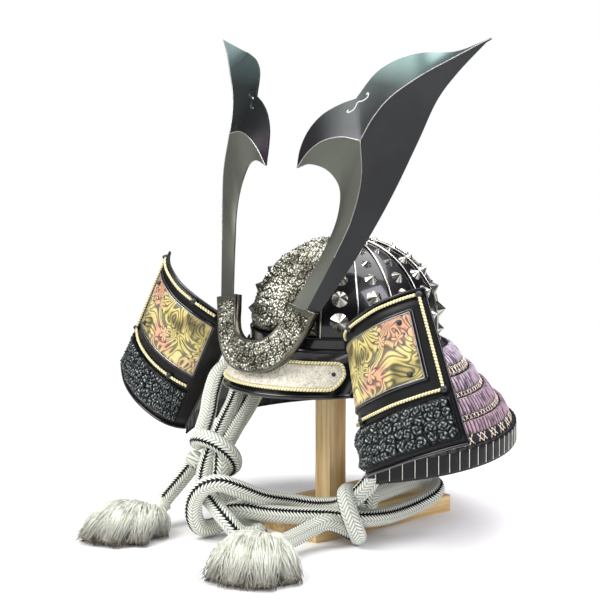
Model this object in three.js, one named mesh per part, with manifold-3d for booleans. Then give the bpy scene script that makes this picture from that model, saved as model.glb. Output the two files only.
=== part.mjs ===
// A kabuto, the helmet of a samurai armour, on its plain wooden stand.
//
// Units are millimetres, +Z is up and the front of the helmet faces -Y, so the wearer's left is +X.
// The origin is on the underside of the stand's plank, below the middle of the post. Sheets of
// metal and leather are drawn as open surfaces and then given their wall; what repeats is a loop.

import * as THREE from "three";
import { mergeGeometries, mergeVertices } from "three/addons/utils/BufferGeometryUtils.js";
import Module from "manifold-3d";

const wasm = await Module();
wasm.setup();

const V = (x, y, z) => new THREE.Vector3(x, y, z);
const { PI, sin, cos, sqrt, max, min, abs } = Math;
const RAD = PI / 180;
const GAP = 0.35; // clearance between neighbouring pieces

// ---------------------------------------------------------------- driving dimensions
const POST = { side: 24, y: 0 };
const PLANK = { width: 121.4, front: -76, back: 131, thick: 18.7, bevel: 1 };

// The bowl is half an ellipsoid on a short upright wall. a is half its width, b half its length.
const BOWL = { y: 24, z: 229, a: 98, b: 106, h: 89, foot: 200, wall: 2.4, panels: 16 };
const RIB = { high: 2.4, wide: 1.7, topAngle: 75 };
// Star rivets: angle up the dome (below 0: height under its widest line), width and height.
const RIVET_ROWS = [
  { up: -8.2, width: 12.6, high: 6.4 },
  { up: 5.5, width: 19, high: 8.5 },
  { up: 21.5, width: 16.5, high: 7.6 },
  { up: 35.5, width: 13.5, high: 6.5 },
  { up: 48, width: 11, high: 5.6 },
  { up: 60, width: 8.5, high: 4.6 },
  { up: 71.5, width: 6.2, high: 3.6 },
];
const FRONT_PLATE = { clear: 2.2, low: -4.5, high: 79, wall: 1.6, relief: 3.4 };
const BAND = { low: 196, high: 207.4, out: 2.6 };

// Peak: from a collar on the bowl down to a level rim.
const VISOR = { collarTop: 221, collarLow: 208.5, rimZ: 162, a: 95, b: 93, y: -30, half: 74, root: 60, wall: 2.2 };
const CREST_WALL = 7.8;
const HORN_WALL = 2.2;
const WING_WALL = 2;
const CORD = { d: 19, sides: 8 };

// ---------------------------------------------------------------- materials
const finish = (color, metalness, roughness) => new THREE.MeshStandardMaterial({ color, metalness, roughness });
const FINISH = {
  wood: finish("#d3ab6c", 0, 0.6),
  lacquer: finish("#17161a", 0, 0.15),
  silver: finish("#c4c3b4", 1, 0.3),
  horn: finish("#3c3e3d", 0.8, 0.45),
  leather: finish("#cfc8b0", 0, 0.6),
  print: finish("#d9cd86", 0, 0.5),
  piping: finish("#efe6a8", 0, 0.6),
  carving: finish("#4a5154", 0.8, 0.4),
  lacing: finish("#c9a9bd", 0, 0.8),
  cord: finish("#d8dcd0", 0, 0.85),
};

// ---------------------------------------------------------------- making solids
// Position-only geometry with shared vertices and no collapsed triangles.
function clean(geometry) {
  const bare = new THREE.BufferGeometry();
  bare.setAttribute("position", geometry.getAttribute("position").clone());
  if (geometry.index) bare.setIndex(geometry.index.clone());
  const merged = mergeVertices(bare, 1e-3);
  const index = merged.index.array;
  const kept = [];
  for (let i = 0; i < index.length; i += 3) {
    const [p, q, r] = [index[i], index[i + 1], index[i + 2]];
    if (p !== q && q !== r && r !== p) kept.push(p, q, r);
  }
  merged.setIndex(kept);
  return merged;
}

function signedVolume(geometry) {
  const at = geometry.getAttribute("position");
  const index = geometry.index.array;
  const [p, q, r] = [V(), V(), V()];
  let sum = 0;
  for (let i = 0; i < index.length; i += 3) {
    p.fromBufferAttribute(at, index[i]);
    q.fromBufferAttribute(at, index[i + 1]);
    r.fromBufferAttribute(at, index[i + 2]);
    sum += p.dot(q.cross(r)) / 6;
  }
  return sum;
}

function flipped(geometry) {
  const index = geometry.index.array;
  for (let i = 0; i < index.length; i += 3) [index[i], index[i + 1]] = [index[i + 1], index[i]];
  return geometry;
}

const outward = (geometry) => (signedVolume(geometry) < 0 ? flipped(geometry) : geometry);

// An open sheet: surface(u, v) with u and v from 0 to 1. With v running down and u to the
// right, its front is the side it is seen from.
function sheet(surface, columns, rows) {
  const points = [];
  const index = [];
  for (let j = 0; j <= rows; j++) {
    for (let i = 0; i <= columns; i++) points.push(...surface(i / columns, j / rows).toArray());
  }
  for (let j = 0; j < rows; j++) {
    for (let i = 0; i < columns; i++) {
      const p = j * (columns + 1) + i;
      index.push(p, p + columns + 2, p + 1, p, p + columns + 1, p + columns + 2);
    }
  }
  const geometry = new THREE.BufferGeometry();
  geometry.setAttribute("position", new THREE.Float32BufferAttribute(points, 3));
  geometry.setIndex(index);
  return geometry;
}

// Gives an open sheet its wall: a copy set off along the vertex normals, and the edges between.
function thicken(open, wall) {
  const front = clean(open);
  front.computeVertexNormals();
  const at = front.getAttribute("position");
  const normal = front.getAttribute("normal");
  const count = at.count;
  const points = [...at.array];
  for (let i = 0; i < count; i++) {
    points.push(at.getX(i) - normal.getX(i) * wall, at.getY(i) - normal.getY(i) * wall);
    points.push(at.getZ(i) - normal.getZ(i) * wall);
  }
  const face = [...front.index.array];
  const index = [...face];
  const edges = new Map();
  for (let i = 0; i < face.length; i += 3) {
    index.push(face[i + 1] + count, face[i] + count, face[i + 2] + count);
    for (let k = 0; k < 3; k++) {
      const [p, q] = [face[i + k], face[i + ((k + 1) % 3)]];
      if (edges.has(`${q},${p}`)) edges.delete(`${q},${p}`);
      else edges.set(`${p},${q}`, [p, q]);
    }
  }
  for (const [p, q] of edges.values()) index.push(q, p, p + count, q, p + count, q + count);
  const solid = new THREE.BufferGeometry();
  solid.setAttribute("position", new THREE.Float32BufferAttribute(points, 3));
  solid.setIndex(index);
  return outward(clean(solid));
}

// The same surface moved out along its own normal.
function raised(surface, distance) {
  const step = 1e-3;
  return (u, v) => {
    const here = surface(u, v);
    const [u0, u1] = [max(0, u - step), min(1, u + step)];
    const [v0, v1] = [max(0, v - step), min(1, v + step)];
    const across = surface(u1, v).sub(surface(u0, v));
    const along = surface(u, v1).sub(surface(u, v0));
    return here.addScaledVector(along.cross(across).normalize(), distance(u, v));
  };
}

// A closed body between two sheets that share their parameters.
function between(outer, inner, columns, rows) {
  const both = mergeGeometries([sheet(outer, columns, rows), flipped(sheet(inner, columns, rows))]);
  const index = [...both.index.array];
  const wide = columns + 1;
  const count = wide * (rows + 1);
  const rim = [];
  for (let i = 0; i < columns; i++) rim.push(i);
  for (let j = 0; j < rows; j++) rim.push(j * wide + columns);
  for (let i = columns; i > 0; i--) rim.push(rows * wide + i);
  for (let j = rows; j > 0; j--) rim.push(j * wide);
  rim.forEach((p, k) => {
    const q = rim[(k + 1) % rim.length];
    index.push(p, q, p + count, q, q + count, p + count);
  });
  both.setIndex(index);
  return outward(clean(both));
}

function mirrored(geometry) {
  const copy = geometry.clone();
  copy.scale(-1, 1, 1);
  return flipped(copy);
}

function toSolid(geometry) {
  const ready = clean(geometry);
  return new wasm.Manifold(
    new wasm.Mesh({
      numProp: 3,
      vertProperties: new Float32Array(ready.getAttribute("position").array),
      triVerts: new Uint32Array(ready.index.array),
    }),
  );
}

function fromSolid(solid) {
  const mesh = solid.getMesh();
  const geometry = new THREE.BufferGeometry();
  geometry.setAttribute("position", new THREE.Float32BufferAttribute(mesh.vertProperties, 3));
  geometry.setIndex([...mesh.triVerts]);
  return clean(geometry);
}

function fused(geometries) {
  let whole = toSolid(geometries[0]);
  for (const geometry of geometries.slice(1)) whole = whole.add(toSolid(geometry));
  return fromSolid(whole);
}

// A round rod along a curve, and an open curve through a list of points.
const through = (points) => new THREE.CatmullRomCurve3(points, false, "centripetal");
function rod(points, radius, sides, steps) {
  const section = new THREE.Shape();
  for (let i = 0; i <= sides; i++) {
    const angle = (i * 2 * PI) / sides;
    section[i ? "lineTo" : "moveTo"](radius * cos(angle), radius * sin(angle));
  }
  const options = { steps, extrudePath: through(points), bevelEnabled: false };
  return outward(clean(new THREE.ExtrudeGeometry(section, options)));
}

const kabuto = new THREE.Group();
function add(name, geometry, material) {
  const mesh = new THREE.Mesh(geometry, material);
  mesh.name = name;
  kabuto.add(mesh);
}

// Adds a piece of the +X side and its mirror image.
function addPair(name, geometry, material) {
  add(`${name}_left`, geometry, material);
  add(`${name}_right`, mirrored(geometry), material);
}

// Row values read along a table: column(rows, name, t) with t from 0 to 1.
function column(rows, name, t) {
  const place = min(t, 0.999999) * (rows.length - 1);
  const k = Math.floor(place);
  return rows[k][name] + (rows[k + 1][name] - rows[k][name]) * (place - k);
}

// ---------------------------------------------------------------- the bowl's own surface
// angle: 0 at the front, 90 at +X. up: degrees up the dome, below 0 down the upright wall.
function onBowl(angle, up, out = 0) {
  const level = up > 0 ? cos(up * RAD) : 1;
  const z = BOWL.z + (up > 0 ? (BOWL.h + out) * sin(up * RAD) : BOWL.h * sin(up * RAD));
  const x = (BOWL.a + out) * level * sin(angle * RAD);
  return V(x, BOWL.y - (BOWL.b + out) * level * cos(angle * RAD), z);
}

// ---------------------------------------------------------------- stand
function standBase() {
  const depth = PLANK.back - PLANK.front;
  const shape = new THREE.Shape();
  const [w, b] = [PLANK.width / 2, PLANK.bevel];
  shape.moveTo(-w + b, PLANK.front);
  shape.lineTo(w - b, PLANK.front).lineTo(w, PLANK.front + b).lineTo(w, PLANK.back - b);
  shape.lineTo(w - b, PLANK.back).lineTo(-w + b, PLANK.back).lineTo(-w, PLANK.front + depth - b);
  shape.lineTo(-w, PLANK.front + b);
  return clean(new THREE.ExtrudeGeometry(shape, { depth: PLANK.thick, bevelEnabled: false }));
}

// The post reaches up into the bowl; its top is cut to the inside of the dome.
function standPost() {
  const low = PLANK.thick + GAP;
  const high = BOWL.z + BOWL.h;
  const post = new THREE.BoxGeometry(POST.side, POST.side, high - low).translate(0, POST.y, (low + high) / 2);
  const inside = new THREE.SphereGeometry(1, 32, 24).rotateX(PI / 2);
  const out = -BOWL.wall - 6.5 * GAP;
  inside.scale(BOWL.a + out, BOWL.b + out, BOWL.h + out).translate(0, BOWL.y, BOWL.z);
  const lower = new THREE.BoxGeometry(POST.side, POST.side, BOWL.z - low).translate(0, POST.y, (low + BOWL.z) / 2);
  return fromSolid(toSolid(post).intersect(toSolid(inside)).add(toSolid(lower)));
}

// ---------------------------------------------------------------- bowl
function bowl() {
  const steps = 6;
  const profile = [];
  for (let i = 0; i <= steps; i++) {
    const up = (90 - (90 * i) / steps) * RAD;
    profile.push(new THREE.Vector2(BOWL.a * cos(up), BOWL.z + BOWL.h * sin(up)));
  }
  profile[0].x = 0;
  profile.push(new THREE.Vector2(BOWL.a, BOWL.foot), new THREE.Vector2(BOWL.a - BOWL.wall, BOWL.foot));
  const inner = steps - 1;
  for (let i = inner; i >= 0; i--) {
    const up = (90 - (90 * i) / inner) * RAD;
    const radius = i ? (BOWL.a - BOWL.wall) * cos(up) : 0;
    profile.push(new THREE.Vector2(radius, BOWL.z + (BOWL.h - BOWL.wall) * sin(up)));
  }
  const shell = new THREE.LatheGeometry(profile, 24).rotateX(PI / 2);
  const pieces = [outward(clean(shell))];
  const turn = 360 / BOWL.panels;
  for (let k = 0; k < BOWL.panels; k++) {
    const angle = (k + 0.5) * turn;
    if (min(angle, 360 - angle) > turn) pieces.push(rib(angle));
  }
  for (let k = 0; k < BOWL.panels; k++) {
    const angle = k * turn;
    const side = min(angle, 360 - angle);
    if (side < 1.5 * turn) continue;
    RIVET_ROWS.forEach((row) => {
      if (row.up > 0 || side > VISOR.root + turn / 2) pieces.push(rivet(angle, row));
    });
  }
  const whole = fused(pieces);
  whole.scale(1, BOWL.b / BOWL.a, 1);
  return whole.translate(0, BOWL.y, 0);
}

// Ribs and rivets are made on a round dome; the whole bowl is then stretched front to back.
function rib(angle) {
  const shape = new THREE.Shape();
  const steps = 5;
  const arc = (out, i) => {
    const up = ((RIB.topAngle * i) / steps) * RAD;
    return [(BOWL.a + out) * cos(up), BOWL.z + (BOWL.h + out) * sin(up)];
  };
  shape.moveTo(BOWL.a + RIB.high, BOWL.foot + 8);
  for (let i = 0; i <= steps; i++) shape.lineTo(...arc(RIB.high, i));
  for (let i = steps; i >= 0; i--) shape.lineTo(...arc(-1.9, i));
  shape.lineTo(BOWL.a - 1.9, BOWL.foot + 8);
  const plate = new THREE.ExtrudeGeometry(shape, { depth: RIB.wide, bevelEnabled: false });
  plate.translate(0, 0, -RIB.wide / 2).rotateX(PI / 2);
  return outward(clean(plate.rotateZ((angle - 90) * RAD)));
}

function rivet(angle, row) {
  const sunk = 2;
  const cone = new THREE.ConeGeometry((row.width / 2) * (1 + sunk / row.high), row.high + sunk, 4);
  const up = max(row.up, 0) * RAD;
  const normal = V(cos(up) / BOWL.a, 0, sin(up) / BOWL.h).normalize();
  const height = BOWL.z + BOWL.h * sin(row.up * RAD);
  const foot = V(BOWL.a * cos(up), 0, height);
  cone.translate(0, (row.high + sunk) / 2 - sunk, 0);
  cone.applyQuaternion(new THREE.Quaternion().setFromUnitVectors(V(0, 1, 0), normal));
  cone.translate(foot.x, foot.y, foot.z);
  return outward(clean(cone.rotateZ((angle - 90) * RAD)));
}

// Cast relief: round bosses that swell out of the plate, laid out in staggered rows.
function swell(u, v, across, up) {
  const row = v * up;
  const shift = Math.floor(row) % 2 ? 0.5 : 0;
  const du = ((u * across + shift) % 1) - 0.5;
  const dv = (row % 1) - 0.5;
  return max(0, 1 - 3.6 * (du * du + dv * dv));
}

function frontPlate() {
  const face = (out) => (u, v) => {
    const up = FRONT_PLATE.high + v * (FRONT_PLATE.low - FRONT_PLATE.high);
    const half = 540 / BOWL.panels - FRONT_PLATE.clear / (BOWL.a * cos(up * RAD) * RAD);
    return onBowl((2 * u - 1) * half, up, out);
  };
  const edge = (t) => min(1, 8 * t, 8 * (1 - t));
  const lift = (u, v) => FRONT_PLATE.wall + FRONT_PLATE.relief * swell(u, v, 3, 6) * edge(u) * edge(v);
  const outer = (u, v) => face(2 * GAP + lift(u, v))(u, v);
  return between(outer, face(2 * GAP), 7, 9);
}

function bowlBand() {
  const ring = new THREE.Shape();
  const hole = new THREE.Path();
  ring.absellipse(0, BOWL.y, BOWL.a + BAND.out, BOWL.b + BAND.out, 0, 2 * PI, false);
  hole.absellipse(0, BOWL.y, BOWL.a + 2 * GAP, BOWL.b + 2 * GAP, 0, 2 * PI, true);
  ring.holes.push(hole);
  const options = { depth: BAND.high - BAND.low, bevelEnabled: false, curveSegments: 20 };
  return clean(new THREE.ExtrudeGeometry(ring, options).translate(0, 0, BAND.low));
}

// ---------------------------------------------------------------- peak and what lies on it
// u runs from the -X end to the +X end; v from the top of the collar to the rim.
function visorSurface(u, v) {
  const side = 2 * u - 1;
  const out = 0.9 + WALL_STEP + VISOR.wall;
  const root = onBowl(side * VISOR.root, -1, out);
  const collar = 0.2;
  if (v < collar) {
    const t = v / collar;
    return V(root.x, root.y, VISOR.collarTop + (VISOR.collarLow - VISOR.collarTop) * t);
  }
  const t = (v - collar) / (1 - collar);
  const turn = side * VISOR.half * RAD;
  const rim = V(VISOR.a * sin(turn), VISOR.y - VISOR.b * cos(turn), VISOR.rimZ);
  const low = V(root.x, root.y, VISOR.collarLow);
  const belly = 4.5 * sin(PI * t);
  return low.lerp(rim, t).add(V(belly * sin(turn), -belly * cos(turn), belly * 0.7));
}
const WALL_STEP = 1.9;

// The leather inset has round ends: its half height shrinks along a quarter ellipse.
function insetSurface(out) {
  const [mid, half, straight] = [0.675, 0.188, 0.88];
  return (u, v) => {
    const side = 2 * u - 1;
    const past = max(0, (abs(side) - straight) / (1 - straight));
    const tall = half * sqrt(max(0.02, 1 - past * past));
    const reach = 0.5 + side * 0.435;
    return raised(visorSurface, () => out)(reach, mid + tall * (2 * v - 1));
  };
}

function outline(surface, steps) {
  const points = [];
  for (let i = 0; i < steps; i++) points.push(surface(i / steps, 0));
  for (let i = 0; i < 3; i++) points.push(surface(1, i / 3));
  for (let i = 0; i < steps; i++) points.push(surface(1 - i / steps, 1));
  for (let i = 0; i < 3; i++) points.push(surface(0, 1 - i / 3));
  return points;
}

// ---------------------------------------------------------------- crest holder
// Half of the U-shaped plate, from the middle of the front to the top of the +X arm.
const HOLDER = [
  { ix: 0, iy: -117, iz: 218, ox: 0, oy: -124, oz: 184 },
  { ix: 15, iy: -116, iz: 219.5, ox: 26, oy: -122, oz: 187 },
  { ix: 27, iy: -112.5, iz: 225.5, ox: 46, oy: -116, oz: 196.5 },
  { ix: 35, iy: -107.5, iz: 235, ox: 60.5, oy: -109.5, oz: 211.5 },
  { ix: 40, iy: -102.5, iz: 247, ox: 71, oy: -102, oz: 230 },
  { ix: 43.5, iy: -99, iz: 261, ox: 80.5, oy: -95.5, oz: 253.5 },
];

function holderSurface(u, v) {
  const side = 2 * u - 1;
  const t = abs(side);
  const inner = V(column(HOLDER, "ix", t), column(HOLDER, "iy", t), column(HOLDER, "iz", t));
  const outer = V(column(HOLDER, "ox", t), column(HOLDER, "oy", t), column(HOLDER, "oz", t));
  const point = inner.lerp(outer, v);
  if (side < 0) point.x = -point.x;
  return point;
}

// Sockets for the horns' tangs, one in the top of each arm.
const TANG = { x: 62, y: -91.2, wide: 19, deep: 11, thick: 2.4, lean: 0.12 };
function tangBox(grow) {
  const high = 2 * TANG.deep + 2 * grow;
  const box = new THREE.BoxGeometry(TANG.wide + 2 * grow, TANG.thick + 2 * grow, high);
  box.rotateZ(0.22);
  return box.translate(TANG.x, TANG.y, 257);
}

function crestHolder() {
  const relief = (u, v) => {
    const edge = min(1, 5 * min(v, 1 - v), 14 * min(u, 1 - u));
    return 2.6 * swell(u, v, 9, 1) * edge;
  };
  const back = raised(holderSurface, () => -CREST_WALL);
  let plate = toSolid(between(raised(holderSurface, relief), back, 18, 3));
  const socket = tangBox(0.6);
  plate = plate.subtract(toSolid(socket)).subtract(toSolid(mirrored(clean(socket))));
  return fromSolid(plate);
}

// The plain tab that carries the holder stands out from the peak's collar.
function crestBracket() {
  return clean(new THREE.BoxGeometry(16, 21, 6).translate(0, -97.6, 212.6));
}

// ---------------------------------------------------------------- horns
// Named curves of the +X horn. Three faces meet on the ridge and on the crease.
const HORN = {
  tip: V(213.5, 21.5, 535),
  barb: V(25.6, -72.3, 399.8),
  meet: V(106.3, -56.5, 431),
  ridgeHigh: [V(184, 3.5, 517), V(153.5, -17.5, 497), V(126.5, -35.5, 474), V(113.5, -46.5, 453)],
  ridgeLow: [V(112, -60, 393), V(105.6, -68, 350), V(92.5, -79.5, 311), V(72, -97.5, 259)],
  crease: [V(84, -61.5, 434.2), V(60, -67.5, 429), V(41.4, -70.5, 417)],
  lobeHigh: [V(168.5, 17.5, 521.5), V(138, -2.5, 519.8), V(113, -13, 512.5), V(94.5, -23.5, 499.5)],
  notch: V(81, -39, 473.2),
  lobeLow: [V(63, -46, 466.5), V(44.5, -54.5, 455), V(31.8, -62, 438.5), V(26.2, -68.5, 419)],
  inner: [V(43, -70.5, 404.5), V(64, -64, 399), V(79, -60.5, 382), V(82.5, -66, 352), V(71.5, -78.8, 311), V(50.5, -99, 262)],
  outer: [V(181, 7, 499), V(164, -2, 474), V(151, -17, 431), V(134.5, -41.5, 370), V(109.5, -63.5, 311), V(83, -87.5, 258.5)],
};

const pointsOf = (points, steps) => through(points).getSpacedPoints(steps);

function strip(left, right) {
  const rows = left.length - 1;
  return sheet((u, v) => {
    const k = Math.round(v * rows);
    return left[k].clone().lerp(right[k], u);
  }, 1, rows);
}

function hornSheet() {
  const [high, fan, low] = [8, 5, 7];
  const ridgeHigh = pointsOf([HORN.tip, ...HORN.ridgeHigh, HORN.meet], high);
  const crease = pointsOf([HORN.meet, ...HORN.crease, HORN.barb], fan);
  const ridgeLow = pointsOf([HORN.meet, ...HORN.ridgeLow], low);
  const lobeHigh = pointsOf([HORN.tip, ...HORN.lobeHigh, HORN.notch], high - 2);
  const lobeLow = pointsOf([HORN.notch, ...HORN.lobeLow, HORN.barb], fan + 2);
  const inner = pointsOf([HORN.barb, ...HORN.inner], fan + low);
  const outer = pointsOf([HORN.tip, ...HORN.outer], high + low);
  const leaf = strip([...lobeHigh, ...lobeLow.slice(1)], [...ridgeHigh, ...crease.slice(1)]);
  const face = strip(inner, [...crease.slice().reverse(), ...ridgeLow.slice(1)]);
  const flank = strip([...ridgeHigh, ...ridgeLow.slice(1)], outer);
  return mergeGeometries([leaf, face, flank].map(clean));
}

// The pierced double hook beside the notch.
const CURL = [
  V(91.4, -35.5, 477.8), V(92.6, -34.1, 480.1), V(96.1, -34.6, 478.6), V(96.8, -36.6, 474.8), V(93.7, -38.6, 471.7),
  V(89.9, -40, 469.9), V(85.9, -40.8, 469), V(85.8, -42.5, 466), V(84.6, -44.9, 461.9), V(81.7, -46.5, 459.5),
  V(78.3, -47.6, 458.2), V(74.8, -47.1, 459.6), V(75.4, -45.6, 462.2),
];

function horn() {
  const curl = through(CURL);
  const across = V(0.6, -0.78, 0.18).normalize();
  const wall = sheet((u, v) => curl.getPointAt(u).addScaledVector(across, 14 * v - 7), 11, 1);
  const plate = toSolid(thicken(hornSheet(), HORN_WALL)).subtract(toSolid(thicken(wall, 2)));
  return fromSolid(plate.add(toSolid(tangBox(0))));
}

// ---------------------------------------------------------------- wings
// Stations of the +X wing from the helmet's temple (first row) round to its free side (last row):
// tx, ty, tz on the top edge and bx, by, bz on the bottom edge.
const WING = [
  { tx: 103, ty: -50, tz: 218, bx: 158, by: -84, bz: 92 },
  { tx: 104, ty: -64, tz: 225, bx: 160, by: -93, bz: 94 },
  { tx: 110, ty: -77, tz: 234, bx: 165, by: -101, bz: 97 },
  { tx: 119, ty: -85.5, tz: 242.5, bx: 174, by: -106.5, bz: 101 },
  { tx: 131, ty: -90, tz: 250, bx: 186, by: -109.5, bz: 106 },
  { tx: 150, ty: -93, tz: 261, bx: 208, by: -111, bz: 115.5 },
  { tx: 168, ty: -90.5, tz: 272, bx: 229, by: -108.5, bz: 125 },
  { tx: 184, ty: -84, tz: 280, bx: 249, by: -102, bz: 133.5 },
  { tx: 197, ty: -75, tz: 286, bx: 268, by: -92, bz: 141.5 },
  { tx: 208, ty: -65, tz: 289.5, bx: 286, by: -80.5, bz: 148.5 },
];

const wingTop = through(WING.map((row) => V(row.tx, row.ty, row.tz)));
const wingLow = through(WING.map((row) => V(row.bx, row.by, row.bz)));
const wingSurface = (u, v) => wingTop.getPoint(u).lerp(wingLow.getPoint(u), v);
// A patch of the wing: from u0 to u1 and v0 to v1.
const wingPatch = (u0, u1, v0, v1) => (u, v) => wingSurface(u0 + u * (u1 - u0), v0 + v * (v1 - v0));

const LEATHER = { u0: 0.19, u1: 0.865, v0: 0.125, v1: 0.545, high: 1.2 };
const SEAT = GAP + 0.35; // how far what lies on a wing stands off its curved sheet
const FRAME = { u0: 0.165, u1: 0.89, v0: 0.11, v1: 0.562, high: 2 };
const BEADING = { u0: 0.2, u1: 0.955, v0: 0.035, v1: 0.645, radius: 1.6, stud: 5.2 };
const CARVING = { u0: 0.17, u1: 0.975, v0: 0.685, v1: 0.965, foot: 1.2, high: 5 };

const wingPlate = () => thicken(sheet(wingSurface, 14, 1), WING_WALL);

function wingLayer(area, top, columns, rows) {
  const patch = wingPatch(area.u0, area.u1, area.v0, area.v1);
  return between(raised(patch, top), raised(patch, () => SEAT), columns, rows);
}

// A raised border round the leather.
function wingFrame() {
  const slab = wingLayer(FRAME, () => SEAT + FRAME.high, 10, 1);
  const { u0, u1, v0, v1 } = LEATHER;
  const [du, dv] = [0.004, 0.003];
  const window = wingPatch(u0 - du, u1 + du, v0 - dv, v1 + dv);
  const cutter = between(raised(window, () => 9), raised(window, () => -9), 9, 1);
  return fromSolid(toSolid(slab).subtract(toSolid(cutter)));
}

// A low round rivet head standing on the wing.
function stud(u, v) {
  const here = wingSurface(u, v);
  const out = raised(wingSurface, () => 1)(u, v).sub(here);
  const high = 4.2;
  const head = new THREE.CylinderGeometry(BEADING.stud * 0.5, BEADING.stud, high, 6);
  head.translate(0, high / 2 + SEAT, 0);
  head.applyQuaternion(new THREE.Quaternion().setFromUnitVectors(V(0, 1, 0), out));
  return outward(clean(head.translate(here.x, here.y, here.z)));
}

// Twisted beading round the upper part of the wing, held by rivets at its corners.
function wingBeading() {
  const lift = raised(wingSurface, () => BEADING.radius + SEAT);
  const run = (u0, v0, u1, v1, steps) => {
    const points = [];
    for (let i = 0; i <= steps; i++) points.push(lift(u0 + ((u1 - u0) * i) / steps, v0 + ((v1 - v0) * i) / steps));
    return rod(points, BEADING.radius, 4, steps);
  };
  const { u0, u1, v0, v1 } = BEADING;
  const runs = [run(u0, v0, u1, v0, 8), run(u1, v0 + 0.006, u1, v1 - 0.006, 1), run(u1, v1, u0, v1, 8)];
  return fused([...runs, stud(u1, v0), stud(u1, v1), stud(0.415, v0), stud(0.4, v1)]);
}

const carvingHeight = (u, v) => SEAT + CARVING.foot + CARVING.high * swell(u, v, 5, 2) * min(1, 6 * u);

// ---------------------------------------------------------------- neck guard
// Each lame: height, half width and half length of its outside, at its top and at its foot.
const LAMES = [
  { topZ: 200, topA: 106, topB: 113.5, footZ: 176, footA: 137.5, footB: 128 },
  { topZ: 175, topA: 143, topB: 133.5, footZ: 156, footA: 154.5, footB: 143.7 },
  { topZ: 155.5, topA: 160, topB: 149, footZ: 135.5, footA: 173, footB: 161 },
  { topZ: 135, topA: 178.5, topB: 166.5, footZ: 114, footA: 188.5, footB: 175.5 },
  { topZ: 113.5, topA: 194.2, topB: 181, footZ: 92, footA: 194.5, footB: 181 },
];
const LAME_WALL = 2;
const LACING = { off: 0.8, thick: 1.5 };
const NECK = { y: 24, ahead: 29, spread: 1.6, top: 200, rise: 0.00056 };

// u runs from the +X front end round the back to the -X front end; v from the top to the foot.
function lameSurface(lame) {
  return (u, v) => {
    const ahead = NECK.ahead + NECK.spread * LAMES.indexOf(lame);
    const turn = (u * 180 + (2 * u - 1) * ahead) * RAD;
    const a = lame.topA + (lame.footA - lame.topA) * v;
    const y = (lame.topB + (lame.footB - lame.topB) * v) * sin(turn);
    const z = lame.topZ + (lame.footZ - lame.topZ) * (lame === LAMES[0] ? Math.pow(v, 1.7) : v);
    return V(a * cos(turn), NECK.y + y, z + NECK.rise * (NECK.top - z) * y);
  };
}

const neckLame = (lame, k) => thicken(sheet(lameSurface(lame), 22, k ? 1 : 2), LAME_WALL);

// The silk lacing that covers a lame, as one skin.
function neckLacing(lame, k) {
  const area = (u, v) => lameSurface(lame)(0.006 + 0.988 * u, (k ? 0.04 : 0.12) + (k ? 0.95 : 0.87) * v);
  return between(raised(area, () => LACING.off + LACING.thick), raised(area, () => LACING.off), 22, k ? 1 : 2);
}

// ---------------------------------------------------------------- cords
// The turn that a cord makes round its own bundle. axis points along the bundle, across is the
// side from which the angle is counted, towards front at 90 degrees.
function wrapTurn({ centre, axis, across, radius, from, to, low, high, steps }) {
  const along = axis.clone().normalize();
  const side = across.clone().addScaledVector(along, -across.dot(along)).normalize();
  const front = along.clone().cross(side);
  const points = [];
  for (let i = 0; i <= steps; i++) {
    const t = i / steps;
    const angle = (from + (to - from) * t) * RAD;
    const point = centre.clone().addScaledVector(side, radius * cos(angle));
    points.push(point.addScaledVector(front, radius * sin(angle)).addScaledVector(along, low + (high - low) * t));
  }
  return points;
}

const WRAP_MINUS = {
  centre: V(-57, -120, 84), axis: V(0.2, -0.66, -0.72), across: V(0.66, 0.75, -0.1),
  radius: 23.5, from: 190, to: -150, low: -9, high: 9, steps: 13,
};
const WRAP_PLUS = {
  centre: V(89, -46, 34), axis: V(0.6, 0.66, 0.46), across: V(-0.2, -0.1, 1),
  radius: 23.5, from: -120, to: 195, low: 9, high: -9, steps: 13,
};

// The -X cord: out of the helmet, down through its wrap, round the loop of the other cord on the
// floor, back up through the wrap, over a short bight and down again to make the wrap itself.
const CORD_MINUS = {
  before: [
    V(-79, -20, 190), V(-79, -20, 178), V(-78, -36, 152), V(-71, -60, 128), V(-60, -90, 107), V(-49, -115, 86),
    V(-44, -121, 70), V(-47, -121, 55), V(-47, -112, 38), V(-42, -105, 20), V(-20, -105, 11), V(8, -112, 10),
    V(21, -127, 11), V(15, -142, 13), V(3, -151, 27), V(-17, -150, 38), V(-39, -145, 46), V(-54, -138, 54), V(-60, -130, 70),
    V(-60, -122, 88), V(-68, -99, 112), V(-80, -73, 134), V(-91, -58, 147), V(-101, -48, 159), V(-108, -56, 168),
    V(-107, -74, 161), V(-98, -92, 141), V(-88, -105, 122),
  ],
  after: [V(-92, -120, 70), V(-101, -133, 50), V(-104, -146, 37), V(-103, -158, 28)],
};
const CORD_PLUS = {
  before: [
    V(78, 28, 190), V(78, 28, 176), V(88, 16, 148), V(102, -4, 118), V(107, -22, 92), V(101, -38, 66), V(88, -46, 50),
    V(70, -46, 40), V(50, -44, 34), V(32, -52, 32), V(14, -72, 36), V(6, -108, 46), V(-1, -137, 60), V(-9, -153, 66),
    V(-20, -164, 61), V(-30, -168, 47), V(-34, -167, 28), V(-35, -158, 14), V(-34, -142, 11), V(-30, -129, 17),
    V(-20, -129, 29), V(-4, -122, 33), V(12, -108, 30), V(30, -94, 29), V(48, -80, 29), V(66, -64, 29), V(88, -42, 27),
    V(92, -10, 24), V(85, 24, 22), V(83, 54, 25), V(80, 82, 31), V(68, 98, 37), V(56, 90, 41), V(60, 62, 43), V(70, 17, 44), V(78, -12, 42),
  ],
  after: [V(78, -76, 27), V(73, -95, 22), V(74, -115, 18), V(78, -134, 17), V(83, -150, 19)],
};

const cordRoute = ({ before, after }, wrap) => [...before, ...wrapTurn(wrap), ...after];

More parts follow.
